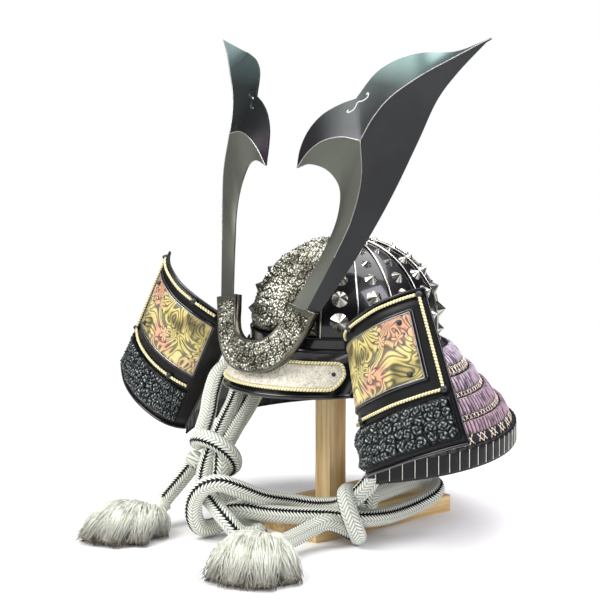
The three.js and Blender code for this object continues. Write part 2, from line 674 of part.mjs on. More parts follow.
// A cord as a chain of short tubes joined into one body, so that it may press against itself.
function cord(route, steps) {
  const curve = through(route);
  const frames = curve.computeFrenetFrames(steps);
  const rings = [];
  for (let i = 0; i <= steps; i++) {
    const middle = curve.getPointAt(i / steps);
    for (let k = 0; k < CORD.sides; k++) {
      const angle = (k * 2 * PI) / CORD.sides;
      const point = middle.clone().addScaledVector(frames.normals[i], (CORD.d / 2) * cos(angle));
      rings.push(...point.addScaledVector(frames.binormals[i], (CORD.d / 2) * sin(angle)).toArray());
    }
  }
  const pieces = [];
  const run = 4;
  for (let first = 0; first < steps; first += run) pieces.push(tubeOf(rings, first, min(first + run, steps)));
  return fused(pieces);
}

// A closed tube over the rings first to last of a flat list of ring points.
function tubeOf(rings, first, last) {
  const wide = CORD.sides;
  const points = rings.slice(first * wide * 3, (last + 1) * wide * 3);
  const index = [];
  const end = (last - first) * wide;
  for (let j = 0; j < last - first; j++) {
    for (let k = 0; k < wide; k++) {
      const [p, q] = [j * wide + k, j * wide + ((k + 1) % wide)];
      index.push(p, q, q + wide, p, q + wide, p + wide);
    }
  }
  for (let k = 1; k < wide - 1; k++) index.push(0, k + 1, k, end, end + k, end + k + 1);
  const tube = new THREE.BufferGeometry();
  tube.setAttribute("position", new THREE.Float32BufferAttribute(points, 3));
  tube.setIndex(index);
  return outward(tube);
}

// The woven collar on a cord's end, and the tassel below it.
const COLLAR = { radius: 11, long: 15, sides: 10 };
function along(from, to, geometry) {
  const heading = to.clone().sub(from).normalize();
  geometry.applyQuaternion(new THREE.Quaternion().setFromUnitVectors(V(0, 1, 0), heading));
  return clean(geometry.translate(from.x, from.y, from.z));
}
function collar(route) {
  const [from, to] = route.slice(-2);
  const ring = new THREE.CylinderGeometry(COLLAR.radius, COLLAR.radius, COLLAR.long, COLLAR.sides);
  return along(to, to.clone().multiplyScalar(2).sub(from), ring.translate(0, COLLAR.long / 2 + GAP, 0));
}

// One lock of threads: a flattened rod, narrow at the head and at its cut end.
function lock(points, wide, thick) {
  const curve = new THREE.QuadraticBezierCurve3(...points);
  const fullness = [0.45, 0.95, 1, 0.7];
  const rows = fullness.length - 1;
  const sides = 5;
  const list = [];
  fullness.forEach((full, j) => {
    const middle = curve.getPoint(j / rows);
    const ahead = curve.getTangent(j / rows);
    const side = ahead.clone().cross(V(0, 0, 1)).normalize();
    const up = side.clone().cross(ahead).normalize();
    for (let k = 0; k < sides; k++) {
      const angle = (k * 2 * PI) / sides;
      const point = middle.clone().addScaledVector(side, wide * full * cos(angle));
      point.addScaledVector(up, thick * full * sin(angle));
      list.push(point.x, point.y, max(0, point.z));
    }
  });
  const index = [];
  for (let j = 0; j < rows; j++) {
    for (let k = 0; k < sides; k++) {
      const [p, q] = [j * sides + k, j * sides + ((k + 1) % sides)];
      index.push(p, q, q + sides, p, q + sides, p + sides);
    }
  }
  const end = rows * sides;
  for (let k = 1; k < sides - 1; k++) index.push(0, k + 1, k, end, end + k, end + k + 1);
  const body = new THREE.BufferGeometry();
  body.setAttribute("position", new THREE.Float32BufferAttribute(list, 3));
  body.setIndex(index);
  return outward(body);
}

// A tassel lying on the floor: its locks fan out from the head to the given ends.
function tassel(route, ends) {
  const [from, to] = route.slice(-2);
  const ahead = to.clone().sub(from).normalize();
  const start = to.clone().addScaledVector(ahead, COLLAR.long + 2.5 * GAP);
  const root = start.clone().addScaledVector(ahead, 9);
  const head = new THREE.CylinderGeometry(14, 10.5, 18, 8).translate(0, 9, 0);
  const crown = V(root.x, root.y, root.z + 4);
  const locks = ends.map(([x, y, high, wide]) => {
    const tip = V(x, y, 5);
    const middle = crown.clone().lerp(tip, 0.55).setZ(high);
    return lock([crown, middle, tip], wide, 12);
  });
  const whole = toSolid(fused([along(start, start.clone().add(ahead), head), ...locks]));
  return fromSolid(whole.trimByPlane([0, 0, 1], 0));
}

// Tassel locks: x and y of the end, height of the middle and half width.
const LOCKS_MINUS = [
  [-62, -196, 30, 15], [-55, -228, 40, 17], [-72, -252, 46, 18], [-98, -262, 44, 17], [-108, -236, 34, 15],
];
const LOCKS_PLUS = [
  [158, -196, 34, 16], [152, -226, 44, 18], [128, -243, 48, 18], [101, -248, 44, 17], [92, -222, 34, 15],
];
const ROUTE_MINUS = cordRoute(CORD_MINUS, WRAP_MINUS);
const ROUTE_PLUS = cordRoute(CORD_PLUS, WRAP_PLUS);

// A plain pin under the bowl's edge that each cord hangs from.
const cordAnchor = (route) => {
  const pin = new THREE.CylinderGeometry(7, 7, 5, 10).rotateX(PI / 2);
  return clean(pin.translate(route[0].x, route[0].y, route[0].z + 3.6));
};

// ---------------------------------------------------------------- the whole
add("stand_base", standBase(), FINISH.wood);
add("stand_post", standPost(), FINISH.wood);
add("bowl", bowl(), FINISH.lacquer);
add("front_plate", frontPlate(), FINISH.silver);
add("bowl_band", bowlBand(), FINISH.lacquer);
add("visor", thicken(sheet(visorSurface, 16, 5), VISOR.wall), FINISH.lacquer);
add("visor_leather", between(insetSurface(1.8 + GAP), insetSurface(0.6 + GAP), 14, 2), FINISH.leather);
add("crest_bracket", crestBracket(), FINISH.lacquer);
add("crest_holder", crestHolder(), FINISH.silver);
addPair("horn", horn(), FINISH.horn);
addPair("wing_plate", wingPlate(), FINISH.lacquer);
addPair("wing_leather", wingLayer(LEATHER, () => SEAT + LEATHER.high, 9, 1), FINISH.print);
addPair("wing_frame", wingFrame(), FINISH.lacquer);
addPair("wing_beading", wingBeading(), FINISH.piping);
addPair("wing_carving", wingLayer(CARVING, carvingHeight, 11, 4), FINISH.carving);
LAMES.forEach((lame, k) => add(`neck_lame_${k + 1}`, neckLame(lame, k), FINISH.lacquer));
LAMES.slice(0, 4).forEach((lame, k) => add(`neck_lacing_${k + 1}`, neckLacing(lame, k), FINISH.lacing));
[["left", ROUTE_PLUS, LOCKS_PLUS, 50], ["right", ROUTE_MINUS, LOCKS_MINUS, 40]].forEach(([side, route, locks, steps]) => {
  add(`cord_anchor_${side}`, cordAnchor(route), FINISH.lacquer);
  add(`cord_${side}`, cord(route, steps), FINISH.cord);
  add(`cord_collar_${side}`, collar(route), FINISH.cord);
  add(`tassel_${side}`, tassel(route, locks), FINISH.cord);
});

export default kabuto;
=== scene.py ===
import math

import bmesh
import bpy
from mathutils import Matrix, Vector, noise


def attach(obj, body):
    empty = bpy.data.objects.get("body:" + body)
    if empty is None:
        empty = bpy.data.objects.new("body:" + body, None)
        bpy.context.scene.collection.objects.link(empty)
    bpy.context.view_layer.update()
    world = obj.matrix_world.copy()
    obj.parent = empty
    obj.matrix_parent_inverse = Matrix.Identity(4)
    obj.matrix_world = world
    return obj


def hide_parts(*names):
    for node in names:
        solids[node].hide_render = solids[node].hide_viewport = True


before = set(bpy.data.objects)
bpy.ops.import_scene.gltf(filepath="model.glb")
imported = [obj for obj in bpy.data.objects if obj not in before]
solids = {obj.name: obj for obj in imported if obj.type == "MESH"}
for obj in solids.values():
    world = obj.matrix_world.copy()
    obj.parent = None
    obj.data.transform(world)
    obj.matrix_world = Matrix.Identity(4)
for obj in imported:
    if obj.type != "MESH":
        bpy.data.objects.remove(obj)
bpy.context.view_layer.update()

# ---------------------------------------------------------------- studio
# A wide table top of matt white card, lit by three soft boxes in a bright room.
# Gloss sees darker walls, as in a studio, so that metal and lacquer keep their contrast.
# The camera stands a little above the helmet, in front of its left side.


def linear(colour):
    """An sRGB hex colour as the linear colour and alpha that a shader takes."""
    parts = [int(colour[i : i + 2], 16) / 255 for i in (1, 3, 5)]
    return (*(c / 12.92 if c <= 0.04045 else ((c + 0.055) / 1.055) ** 2.4 for c in parts), 1.0)


def add_node(tree, kind, *sockets, stops=(), **settings):
    """Adds a node. Its sockets come in order, or as a dict by number; settings are its named sockets
    or its own values. A node given to a socket is linked by its first output. stops are a ramp's."""
    node = tree.nodes.new("ShaderNode" + kind)
    given = sockets[0] if sockets and isinstance(sockets[0], dict) else dict(enumerate(sockets))
    for name, value in settings.items():
        if hasattr(node, name):
            setattr(node, name, value)
        else:
            given[name.replace("_", " ")] = value
    for socket, value in given.items():
        if isinstance(value, bpy.types.Node):
            value = value.outputs[0]
        if isinstance(value, bpy.types.NodeSocket):
            tree.links.new(value, node.inputs[socket])
        else:
            node.inputs[socket].default_value = value
    for k, (place, colour) in enumerate(stops):
        elements = node.color_ramp.elements
        element = elements[k] if k < len(elements) else elements.new(1.0)
        element.position, element.color = place, linear(colour)
    return node


def new_finish(name):
    """An empty material, its node tree, and the places on the piece that it is on, in metres."""
    finish = bpy.data.materials.new(name)
    finish.use_nodes = True
    finish.node_tree.nodes.clear()
    return finish, finish.node_tree, add_node(finish.node_tree, "TexCoord").outputs["Object"]


def new_object(name, data):
    """An object in the scene."""
    made = bpy.data.objects.new(name, data)
    bpy.context.scene.collection.objects.link(made)
    return made


card, tree, place = new_finish("matt white card, lit white further off")
off = add_node(tree, "VectorMath", place, operation="LENGTH")
far = add_node(tree, "MapRange", Value=off.outputs["Value"], From_Min=0.22, From_Max=0.75)
shader = add_node(
    tree, "BsdfPrincipled", Base_Color=linear("#f7f6f6"), Roughness=0.8, Specular_IOR_Level=0.2,
)
lit = add_node(tree, "Emission", Color=(1, 1, 1, 1), Strength=1.0)
both = add_node(tree, "MixShader", far, shader, lit)
add_node(tree, "OutputMaterial", Surface=both)

table_top = bmesh.new()
bmesh.ops.create_grid(table_top, x_segments=1, y_segments=1, size=6.0)
floor_mesh = bpy.data.meshes.new("floor")
table_top.to_mesh(floor_mesh)
table_top.free()
floor_mesh.materials.append(card)
floor = new_object("floor", floor_mesh)

room = bpy.data.worlds.new("bright room")
bpy.context.scene.world = room
room.use_nodes = True
tree = room.node_tree
tree.nodes.clear()
ray = add_node(tree, "LightPath")
walls = add_node(tree, "Background", Color=(0.94, 0.94, 0.96, 1), Strength=0.8)
around_room = add_node(tree, "TexCoord")
up = add_node(tree, "SeparateXYZ", around_room.outputs["Generated"])
gloom = add_node(
    tree, "ValToRGB", Fac=up.outputs[2],
    stops=[(0.0, "#4c4c4c"), (0.12, "#2e2d32"), (0.45, "#3f3e44"), (0.85, "#d6d4dc")],
)
mirrored = add_node(tree, "Background", Color=gloom, Strength=1.0)
lit_by = add_node(tree, "MixShader", ray.outputs["Is Glossy Ray"], walls, mirrored)
backdrop = add_node(tree, "Background", Color=(1, 1, 1, 1), Strength=1.0)
seen = add_node(tree, "MixShader", ray.outputs["Is Camera Ray"], lit_by, backdrop)
add_node(tree, "OutputWorld", Surface=seen)

for name, place, aim, size, power, colour in [
    ("soft box over the left", (-0.5, -1.5, 1.7), (0.0, -0.05, 0.25), 1.3, 40, (1.0, 0.99, 0.97)),
    ("soft box over the right", (1.7, 0.3, 1.5), (0.0, 0.0, 0.2), 1.0, 22, (0.93, 0.9, 1.0)),
    ("soft box above", (0.1, 0.5, 2.2), (0.0, 0.0, 0.2), 1.8, 34, (1.0, 1.0, 1.0)),
]:
    lamp = bpy.data.lights.new(name, "AREA")
    lamp.shape, lamp.size, lamp.energy, lamp.color = "SQUARE", size, power, colour
    light = new_object(name, lamp)
    light.location = place
    light.rotation_mode = "QUATERNION"
    light.rotation_quaternion = (Vector(aim) - Vector(place)).to_track_quat("-Z", "Y")

lens = bpy.data.cameras.new("camera")
lens.lens, lens.sensor_width = 105, 36
lens.clip_start, lens.clip_end = 0.05, 30
camera = new_object("camera", lens)
camera.location = (1.418, -1.2845, 0.5206)
camera.rotation_mode = "QUATERNION"
camera.rotation_quaternion = Vector((-0.7456, 0.6516, -0.1402)).to_track_quat("-Z", "Y")
bpy.context.scene.camera = camera
bpy.context.scene.view_settings.view_transform = "Standard"

# ---------------------------------------------------------------- chin cords
# Two round cords of braided silk, 19 mm thick, tied in front of the helmet.
# Eight columns of slanted strands go round each one, and a black strand zigzags along two sides.


def at(x, y, z):
    """A place in millimetres as a vector in metres."""
    return Vector((x, y, z)) * 0.001


def curve_point(points, t):
    """The place at t, from 0 to 1, on the smooth curve through points."""
    last = len(points) - 1
    k = min(int(t * last), last - 1)
    f = t * last - k
    p1, p2 = points[k], points[k + 1]
    p0 = points[k - 1] if k else 2 * p1 - p2
    p3 = points[k + 2] if k + 2 <= last else 2 * p2 - p1
    d0, d1, d2 = (math.sqrt((b - a).length) for a, b in ((p0, p1), (p1, p2), (p2, p3)))
    t1 = ((p1 - p0) / d0 - (p2 - p0) / (d0 + d1) + (p2 - p1) / d1) * d1
    t2 = ((p2 - p1) / d1 - (p3 - p1) / (d1 + d2) + (p3 - p2) / d2) * d1
    return p1 + t1 * f + (3 * (p2 - p1) - 2 * t1 - t2) * f * f + (2 * (p1 - p2) + t1 + t2) * f**3


def even_points(points, count):
    """count + 1 places on that curve, equally far apart along it."""
    fine = [curve_point(points, i / (24 * len(points))) for i in range(24 * len(points) + 1)]
    reach = [0.0]
    for a, b in zip(fine, fine[1:]):
        reach.append(reach[-1] + (b - a).length)
    places, k = [], 0
    for i in range(count + 1):
        want = reach[-1] * i / count
        while k < len(fine) - 2 and reach[k + 1] < want:
            k += 1
        places.append(fine[k].lerp(fine[k + 1], (want - reach[k]) / (reach[k + 1] - reach[k])))
    return places


def length_of(points):
    """The length of a chain of points."""
    return sum((b - a).length for a, b in zip(points, points[1:]))


def lay_sheet(mesh, surface, columns, rows, lift=None, relief=None, turned=False, map_size=(1.0, 1.0)):
    """Lays a grid on surface(u, v), v running down its front, and lifts it along its own normals.
    u and v are kept as its UV map, times map_size, and relief(u, v) as its attribute."""
    uv = mesh.loops.layers.uv.verify()
    layer = mesh.verts.layers.float.get("relief") or mesh.verts.layers.float.new("relief")
    grid = bmesh.ops.create_grid(mesh, x_segments=columns, y_segments=rows, size=0.5)["verts"]
    places = {vertex: (vertex.co.x + 0.5, vertex.co.y + 0.5) for vertex in grid}
    across, down = map_size
    faces = {face for vertex in grid for face in vertex.link_faces}
    for face in faces:
        for loop in face.loops:
            u, v = places[loop.vert]
            loop[uv].uv = (u * across, v * down)
    for vertex, (u, v) in places.items():
        vertex.co = surface(u, v)
    if not turned:
        bmesh.ops.reverse_faces(mesh, faces=list(faces))
    for face in faces:
        face.normal_update()
    if lift:
        moves = {}
        for vertex, (u, v) in places.items():
            vertex.normal_update()
            moves[vertex] = vertex.co + vertex.normal * lift(u, v)
        for vertex, place in moves.items():
            vertex.co = place
    if relief:
        for vertex, (u, v) in places.items():
            vertex[layer] = relief(u, v)
    return grid


def lay_tube(mesh, path, radius, sides, shape=None, closed=False):
    """Lays a tube along evenly spaced points. shape(along, around) is the share of the radius there,
    with along in metres and around from 0 to 1, which are its UV map too."""
    count = len(path) - 1
    heading = [(path[min(i + 1, count)] - path[max(i - 1, 0)]).normalized() for i in range(count + 1)]
    if closed:
        heading[0] = heading[count] = (path[1] - path[count - 1]).normalized()
    side = heading[0].orthogonal().normalized()
    frames = []
    for i in range(count + 1):
        if i:
            side = heading[i - 1].rotation_difference(heading[i]) @ side
        side = (side - heading[i] * side.dot(heading[i])).normalized()
        frames.append((side, heading[i].cross(side)))
    length = length_of(path)

    def wall(u, v):
        i = round(u * count)
        share = shape(u * length, v) if shape else 1.0
        if closed and i == count:
            i, share = 0, (shape(0, v) if shape else 1.0)
        one, two = frames[i]
        turn = 2 * math.pi * v
        return path[i] + (one * math.cos(turn) + two * math.sin(turn)) * radius * share

    grid = lay_sheet(mesh, wall, count, sides, turned=True, map_size=(length, 1.0))
    bmesh.ops.remove_doubles(mesh, verts=grid, dist=1e-6)
    if not closed:
        ends = [edge for edge in mesh.edges if edge.is_boundary]
        bmesh.ops.holes_fill(mesh, edges=ends, sides=0)


def new_piece(name, mesh, finishes, smooth=True):
    """Makes a finished mesh a piece of the helmet that rides with it."""
    data = bpy.data.meshes.new(name)
    mesh.to_mesh(data)
    mesh.free()
    for finish in finishes:
        data.materials.append(finish)
    data.polygons.foreach_set("use_smooth", [smooth] * len(data.polygons))
    piece = new_object(name, data)
    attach(piece, "root")
    return piece


def give_wall(piece, thickness):
    """Gives an open sheet its wall, inward from the face that was laid."""
    wall = piece.modifiers.new("wall", "SOLIDIFY")
    wall.thickness, wall.offset = thickness, -1
    return wall


def refinish(node, finish):
    """Gives a solid that shows as it is another finish."""
    solids[node].data.materials.clear()
    solids[node].data.materials.append(finish)


def worked_out(thing):
    """The mesh of an object once its modifiers have worked on it; the object itself goes."""
    bpy.context.view_layer.update()
    data = bpy.data.meshes.new_from_object(thing.evaluated_get(bpy.context.evaluated_depsgraph_get()))
    bpy.data.objects.remove(thing)
    return data


def standing_on(place, out):
    """The move that stands a thing made at the origin on a place, with its Z axis along out."""
    return Matrix.Translation(place) @ out.to_track_quat("Z", "Y").to_matrix().to_4x4()


WRAP_RADIUS, WRAP_STEPS = 0.0235, 13


def wrap_turn(centre, axis, across, start, end, low, high):
    """The turn that a cord takes round its own bundle, from start to end in degrees."""
    along = axis.normalized()
    side = (across - along * across.dot(along)).normalized()
    front = along.cross(side)
    points = []
    for i in range(WRAP_STEPS + 1):
        t = i / WRAP_STEPS
        angle = math.radians(start + (end - start) * t)
        out = side * math.cos(angle) + front * math.sin(angle)
        points.append(centre + out * WRAP_RADIUS + along * (low + (high - low) * t) * 0.001)
    return points


CORD_THICK = 0.019
PATH_STEP = 0.0011  # between the rings of a cord's mesh
STRAND_PITCH = 0.0036  # between slanted strands along the cord
COLUMNS_ROUND = 8

RIGHT_ROUTE = [
    at(-79, -20, 190), at(-79, -20, 178), at(-78, -36, 152), at(-71, -60, 128), at(-60, -90, 107),
    at(-49, -115, 86),
    at(-44, -121, 70), at(-47, -121, 55), at(-47, -112, 38), at(-42, -105, 20), at(-20, -105, 11),
    at(8, -112, 10),
    at(21, -127, 11), at(15, -142, 13), at(3, -151, 27), at(-17, -150, 38), at(-39, -145, 46),
    at(-54, -138, 54),
    at(-60, -130, 70), at(-60, -122, 88), at(-68, -99, 112), at(-80, -73, 134), at(-91, -58, 147),
    at(-101, -48, 159),
    at(-108, -56, 168), at(-107, -74, 161), at(-98, -92, 141), at(-88, -105, 122),
    *wrap_turn(at(-57, -120, 84), Vector((0.2, -0.66, -0.72)), Vector((0.66, 0.75, -0.1)), 190, -150, -9, 9),
    at(-92, -120, 70), at(-101, -133, 50), at(-104, -146, 37), at(-103, -158, 28),
]
LEFT_ROUTE = [
    at(78, 28, 190), at(78, 28, 176), at(88, 16, 148), at(102, -4, 118), at(107, -22, 92), at(101, -38, 66),
    at(88, -46, 50), at(70, -46, 40), at(50, -44, 34), at(32, -52, 32), at(14, -72, 36), at(6, -108, 46),
    at(-1, -137, 60), at(-9, -153, 66), at(-20, -164, 61), at(-30, -168, 47), at(-34, -167, 28),
    at(-35, -158, 14),
    at(-34, -142, 11), at(-30, -129, 17), at(-20, -129, 29), at(-4, -122, 33), at(12, -108, 30),
    at(30, -94, 29),
    at(48, -80, 29), at(66, -64, 29), at(88, -42, 27), at(92, -10, 24), at(85, 24, 22), at(83, 54, 25),
    at(80, 82, 31), at(68, 98, 37), at(56, 90, 41), at(60, 62, 43), at(70, 17, 44), at(78, -12, 42),
    *wrap_turn(at(89, -46, 34), Vector((0.6, 0.66, 0.46)), Vector((-0.2, -0.1, 1)), -120, 195, 9, -9),
    at(78, -76, 27), at(73, -95, 22), at(74, -115, 18), at(78, -134, 17), at(83, -150, 19),
]

# Braided silk: soft and almost matt, pale grey-green, with one black strand. Shade is painted dark into the
# grooves between its strands, pale on their crowns.
braid, tree, _ = new_finish("braided silk cord")
split = add_node(tree, "SeparateXYZ", add_node(tree, "UVMap"))
around = add_node(tree, "Math", split.outputs[1], float(COLUMNS_ROUND), operation="MULTIPLY")
slant = add_node(tree, "Math", around, 1.0, operation="PINGPONG")
pitch = add_node(tree, "Math", split, STRAND_PITCH, operation="DIVIDE")
phase = add_node(tree, "Math", slant, 1.7, pitch, operation="MULTIPLY_ADD")
strand = add_node(tree, "Math", phase, 0.5, operation="PINGPONG")
seam = add_node(tree, "Math", around, 0.5, operation="PINGPONG")
wide_seam = add_node(tree, "Math", seam, 2.5, 0.09, operation="MULTIPLY_ADD")
groove = add_node(tree, "Math", strand, wide_seam, operation="MINIMUM")
# Painted shade: dark in the grooves between strands and columns, pale on the strand crowns.
silk = add_node(
    tree, "ValToRGB", Fac=groove, stops=[(0.0, "#6f7367"), (0.17, "#c9cdc0"), (0.5, "#f3f5ee")],
)
half_turn = add_node(tree, "Math", split.outputs[1], 2.0, 0.25, operation="MULTIPLY_ADD")
half = add_node(tree, "Math", half_turn, 0.5, operation="PINGPONG")
step = add_node(tree, "Math", strand, 0.2, half, operation="MULTIPLY_ADD")
stripe = add_node(tree, "Math", step, 0.125, operation="LESS_THAN")
dyed_with_painted_shade = add_node(tree, "Mix", {0: stripe, 6: silk, 7: linear("#0a0a0a")}, data_type="RGBA")
bump = add_node(tree, "Bump", Height=groove, Strength=0.6, Distance=0.0008)
shader = add_node(
    tree, "BsdfPrincipled", Base_Color=dyed_with_painted_shade.outputs[2], Roughness=0.75, Specular_IOR_Level=0.3,
    Normal=bump,
)
add_node(tree, "OutputMaterial", Surface=shader)


def braid_swell(along, around):
    """The strands of the braid standing out of a cord."""
    slanted = 1 - abs((around * COLUMNS_ROUND) % 2 - 1)
    phase = along / STRAND_PITCH + 1.7 * slanted
    column = abs(math.sin(math.pi * around * COLUMNS_ROUND))
    return 0.955 + 0.03 * abs(math.sin(math.pi * phase)) * min(1, 2 * column) + 0.02 * min(1, 2 * column)


cords = {}
for side, route in (("left", LEFT_ROUTE), ("right", RIGHT_ROUTE)):
    smooth = even_points(route, 400)
    path = even_points(route, round(length_of(smooth) / PATH_STEP))
    mesh = bmesh.new()
    lay_tube(mesh, path, CORD_THICK / 2, 28, braid_swell)
    cords[side] = (new_piece(f"chin_cord_{side}", mesh, [braid]), path)
    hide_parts(f"cord_{side}")

# The pins that the cords hang from inside the bowl's edge, of plain blackened steel.
# Their forged faces are slightly uneven, which shows only in the gloss.
steel, tree, place = new_finish("blackened forged steel")
hammer = add_node(tree, "TexNoise", Vector=place, Scale=260.0, Detail=3.0)
bump = add_node(tree, "Bump", Height=hammer, Strength=0.3, Distance=0.0006)
shader = add_node(
    tree, "BsdfPrincipled", Base_Color=linear("#4d4c50"), Metallic=0.8, Roughness=0.4, Normal=bump,
)
add_node(tree, "OutputMaterial", Surface=shader)
for side in ("left", "right"):
    refinish(f"cord_anchor_{side}", steel)

# ---------------------------------------------------------------- tassels
# Each cord ends in a woven collar and a thick tassel of loose silk threads lying on the table.
# The threads fan out in five locks, with shade painted dark brown into them near the table, under the pile.
FULLNESS = (0.45, 0.95, 1.0, 0.7)  # a lock's share of its width, from its root to its end
LOCKS = {
    "right": [
        (-62, -196, 30, 15), (-55, -228, 40, 17), (-72, -252, 46, 18), (-98, -262, 44, 17),
        (-108, -236, 34, 15)
    ],
    "left": [
        (158, -196, 34, 16), (152, -226, 44, 18), (128, -243, 48, 18), (101, -248, 44, 17),
        (92, -222, 34, 15)
    ],
}
THREADS, HEAD_THREADS = 230, 150  # in a lock, and round the bound head
THREAD_THICK = 0.0011  # real threads are 0.3 mm, drawn thicker so that they show

# Cut silk thread: a soft sheen, pale grey-green with a little variation from thread to thread.
thread, tree, place = new_finish("cut silk thread")
high = add_node(tree, "SeparateXYZ", place)
mottle = add_node(
    tree, "TexNoise", Vector=place, Scale=90.0, Detail=4.0, Roughness=0.7,
)
# Painted shade: the threads turn dark brown within about 24 mm of the table.
blotch = add_node(tree, "Math", mottle, 0.026, -0.009, operation="MULTIPLY_ADD")
level = add_node(tree, "Math", high.outputs[2], blotch, operation="SUBTRACT")
depth = add_node(tree, "MapRange", Value=level, From_Min=0.0, From_Max=0.024)
light_silk = add_node(
    tree, "ValToRGB", Fac=mottle, stops=[(0.3, "#b0b5a2"), (0.5, "#d8dbcd"), (0.7, "#f2f3eb")],
)
silk_with_painted_shade = add_node(tree, "Mix", {0: depth, 6: linear("#40351f"), 7: light_silk}, data_type="RGBA")
shader = add_node(
    tree, "BsdfPrincipled", Base_Color=silk_with_painted_shade.outputs[2], Roughness=0.6, Sheen_Weight=0.3,
)
add_node(tree, "OutputMaterial", Surface=shader)


def chance(*seed):
    """A steady random number from 0 to 1 for these numbers."""
    value = math.sin(sum(s * f for s, f in zip(seed, (12.9898, 78.233, 37.719, 4.581)))) * 43758.5453
    return value - math.floor(value)


def rods_mesh(runs, thickness):
    """Four-sided rods along runs of points, each point with its share of the thickness."""
    curve = bpy.data.curves.new("rods", "CURVE")
    curve.dimensions, curve.bevel_depth, curve.bevel_resolution = "3D", thickness / 2, 0
    curve.use_fill_caps = True
    for run in runs:
        spline = curve.splines.new("POLY")
        spline.points.add(len(run) - 1)
        for point, (place, share) in zip(spline.points, run):
            point.co, point.radius = (*place, 1), share
    mesh = bmesh.new()
    mesh.from_mesh(worked_out(new_object("rods", curve)))
    return mesh


for side, locks in LOCKS.items():
    cord, path = cords[side]
    ahead = (path[-1] - path[-3]).normalized()
    end = path[-1]

    mesh = bmesh.new()
    collar_path = [end + ahead * (0.0003 + 0.00025 * i) for i in range(61)]
    lay_tube(mesh, collar_path, 0.0112, 40, lambda along, around: (
        1 + 0.03 * math.sin(math.pi * along / 0.0008) * math.sin(2 * math.pi * around * 20)
        + 0.08 * max(0, 1 - min(along, 0.015 - along) / 0.0014) ** 0.5
    ))
    collar = new_piece(f"woven_collar_{side}", mesh, [thread])
    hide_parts(f"cord_collar_{side}")

    start = end + ahead * 0.0159
    crown = start + ahead * 0.009 + Vector((0, 0, 0.004))
    runs = []
    for k, (x, y, high, wide) in enumerate(locks):
        tip = at(x, y, 5)
        middle = crown.lerp(tip, 0.55)
        middle.z = high * 0.001
        for n in range(THREADS):
            turn, out = 2 * math.pi * chance(n, k, 1), 0.78 + 0.34 * chance(n, k, 2)
            reach = 0.84 + 0.22 * chance(n, k, 3)
            curl, phase = 0.001 + 0.005 * chance(n, k, 4) ** 2, 6.3 * chance(n, k, 5)
            run = []
            for i in range(9):
                t = reach * i / 8
                here = crown.lerp(middle, t).lerp(middle.lerp(tip, t), t)
                forward = (middle - crown).lerp(tip - middle, t).normalized()
                across = forward.cross(Vector((0, 0, 1))).normalized()
                up = across.cross(forward).normalized()
                row = min(t, 0.999) * 3
                full = FULLNESS[int(row)] + (FULLNESS[int(row) + 1] - FULLNESS[int(row)]) * (row - int(row))
                wave = curl * t * math.sin(phase + 7 * t)
                here = here + across * (wide * 0.001 * full * out * math.cos(turn + 0.5 * t) + wave)
                here = here + up * (0.012 * full * out * math.sin(turn + 0.5 * t) + 0.6 * wave)
                here.z = max(0.0008 + 0.001 * chance(n, k, 6), here.z)
                run.append((here, 1.0 - 0.35 * t))
            runs.append(run)
    for n in range(HEAD_THREADS):  # the bound head, where the threads run down beside each other
        turn = 2 * math.pi * n / HEAD_THREADS
        one = ahead.orthogonal().normalized()
        out = one * math.cos(turn) + ahead.cross(one) * math.sin(turn)
        swell = [(0.0, 0.0112), (0.3, 0.0128), (0.7, 0.0148), (1.0, 0.0146)]
        places = [start + ahead * 0.019 * t + out * (radius + 0.0006 * chance(n, 7)) for t, radius in swell]
        runs.append([(Vector((p.x, p.y, max(p.z, 0.0008))), 1.2) for p in places])
    threads = new_piece(f"tassel_threads_{side}", rods_mesh(runs, THREAD_THICK), [thread])
    refinish(f"tassel_{side}", thread)

# ---------------------------------------------------------------- stand
# A plain plank with a square post let into it, both of pale planed pine.
# Wood is drawn with its grain along each piece: down the post, and front to back on the plank.
for name, node_name, stretch, pale in (
    ("planed pine plank", "stand_base", (1.0, 0.07, 1.0), "#ecd09c"),
    ("planed pine post", "stand_post", (1.0, 1.0, 0.05), "#ecd3a2"),
):
    # Growth rings 2 to 4 mm apart show as long streaks, and the planed face is almost matt.
    pine, tree, place = new_finish(name)
    drawn = add_node(tree, "Mapping", Vector=place, Scale=stretch)
    streak = add_node(tree, "TexNoise", Vector=drawn, Scale=230.0, Detail=5.0, Roughness=0.6)
    broad = add_node(tree, "TexNoise", Vector=drawn, Scale=45.0, Detail=2.0)
    both = add_node(tree, "Math", broad, 0.6, streak, operation="MULTIPLY_ADD")
    grain = add_node(
        tree, "ValToRGB", Fac=both, stops=[(0.6, "#c49a5f"), (0.76, "#d8b47a"), (0.95, pale)],
    )
    bump = add_node(tree, "Bump", Height=streak, Strength=0.25, Distance=0.0004)
    shader = add_node(tree, "BsdfPrincipled", Base_Color=grain, Roughness=0.55, Normal=bump)
    add_node(tree, "OutputMaterial", Surface=shader)
    refinish(node_name, pine)

# ---------------------------------------------------------------- bowl
# Sixteen iron plates under black lacquer, with a raised rib over each joint and pointed star rivets.
# The lacquer is polished to a gloss; ribs and rivets are bright silver.
MIDDLE, ACROSS, ALONG, DOME = at(0, 24, 229), 0.098, 0.106, 0.089
PLATES = 16
BOWL_FOOT, BOWL_WALL = 0.200, 0.0024

# Polished urushi lacquer: deep black under a clear glossy coat, with a faint violet cast.
lacquer, tree, place = new_finish("polished black lacquer")
ripple = add_node(tree, "TexNoise", Vector=place, Scale=38.0, Detail=1.0)
bump = add_node(tree, "Bump", Height=ripple, Strength=0.12, Distance=0.002)
cast = add_node(tree, "ValToRGB", Fac=ripple, stops=[(0.35, "#08070a"), (0.7, "#100e14")])
shader = add_node(
    tree, "BsdfPrincipled", Base_Color=cast, Roughness=0.22, Specular_IOR_Level=0.35,
    Coat_Weight=0.7, Coat_Roughness=0.05, Normal=bump,
)
add_node(tree, "OutputMaterial", Surface=shader)

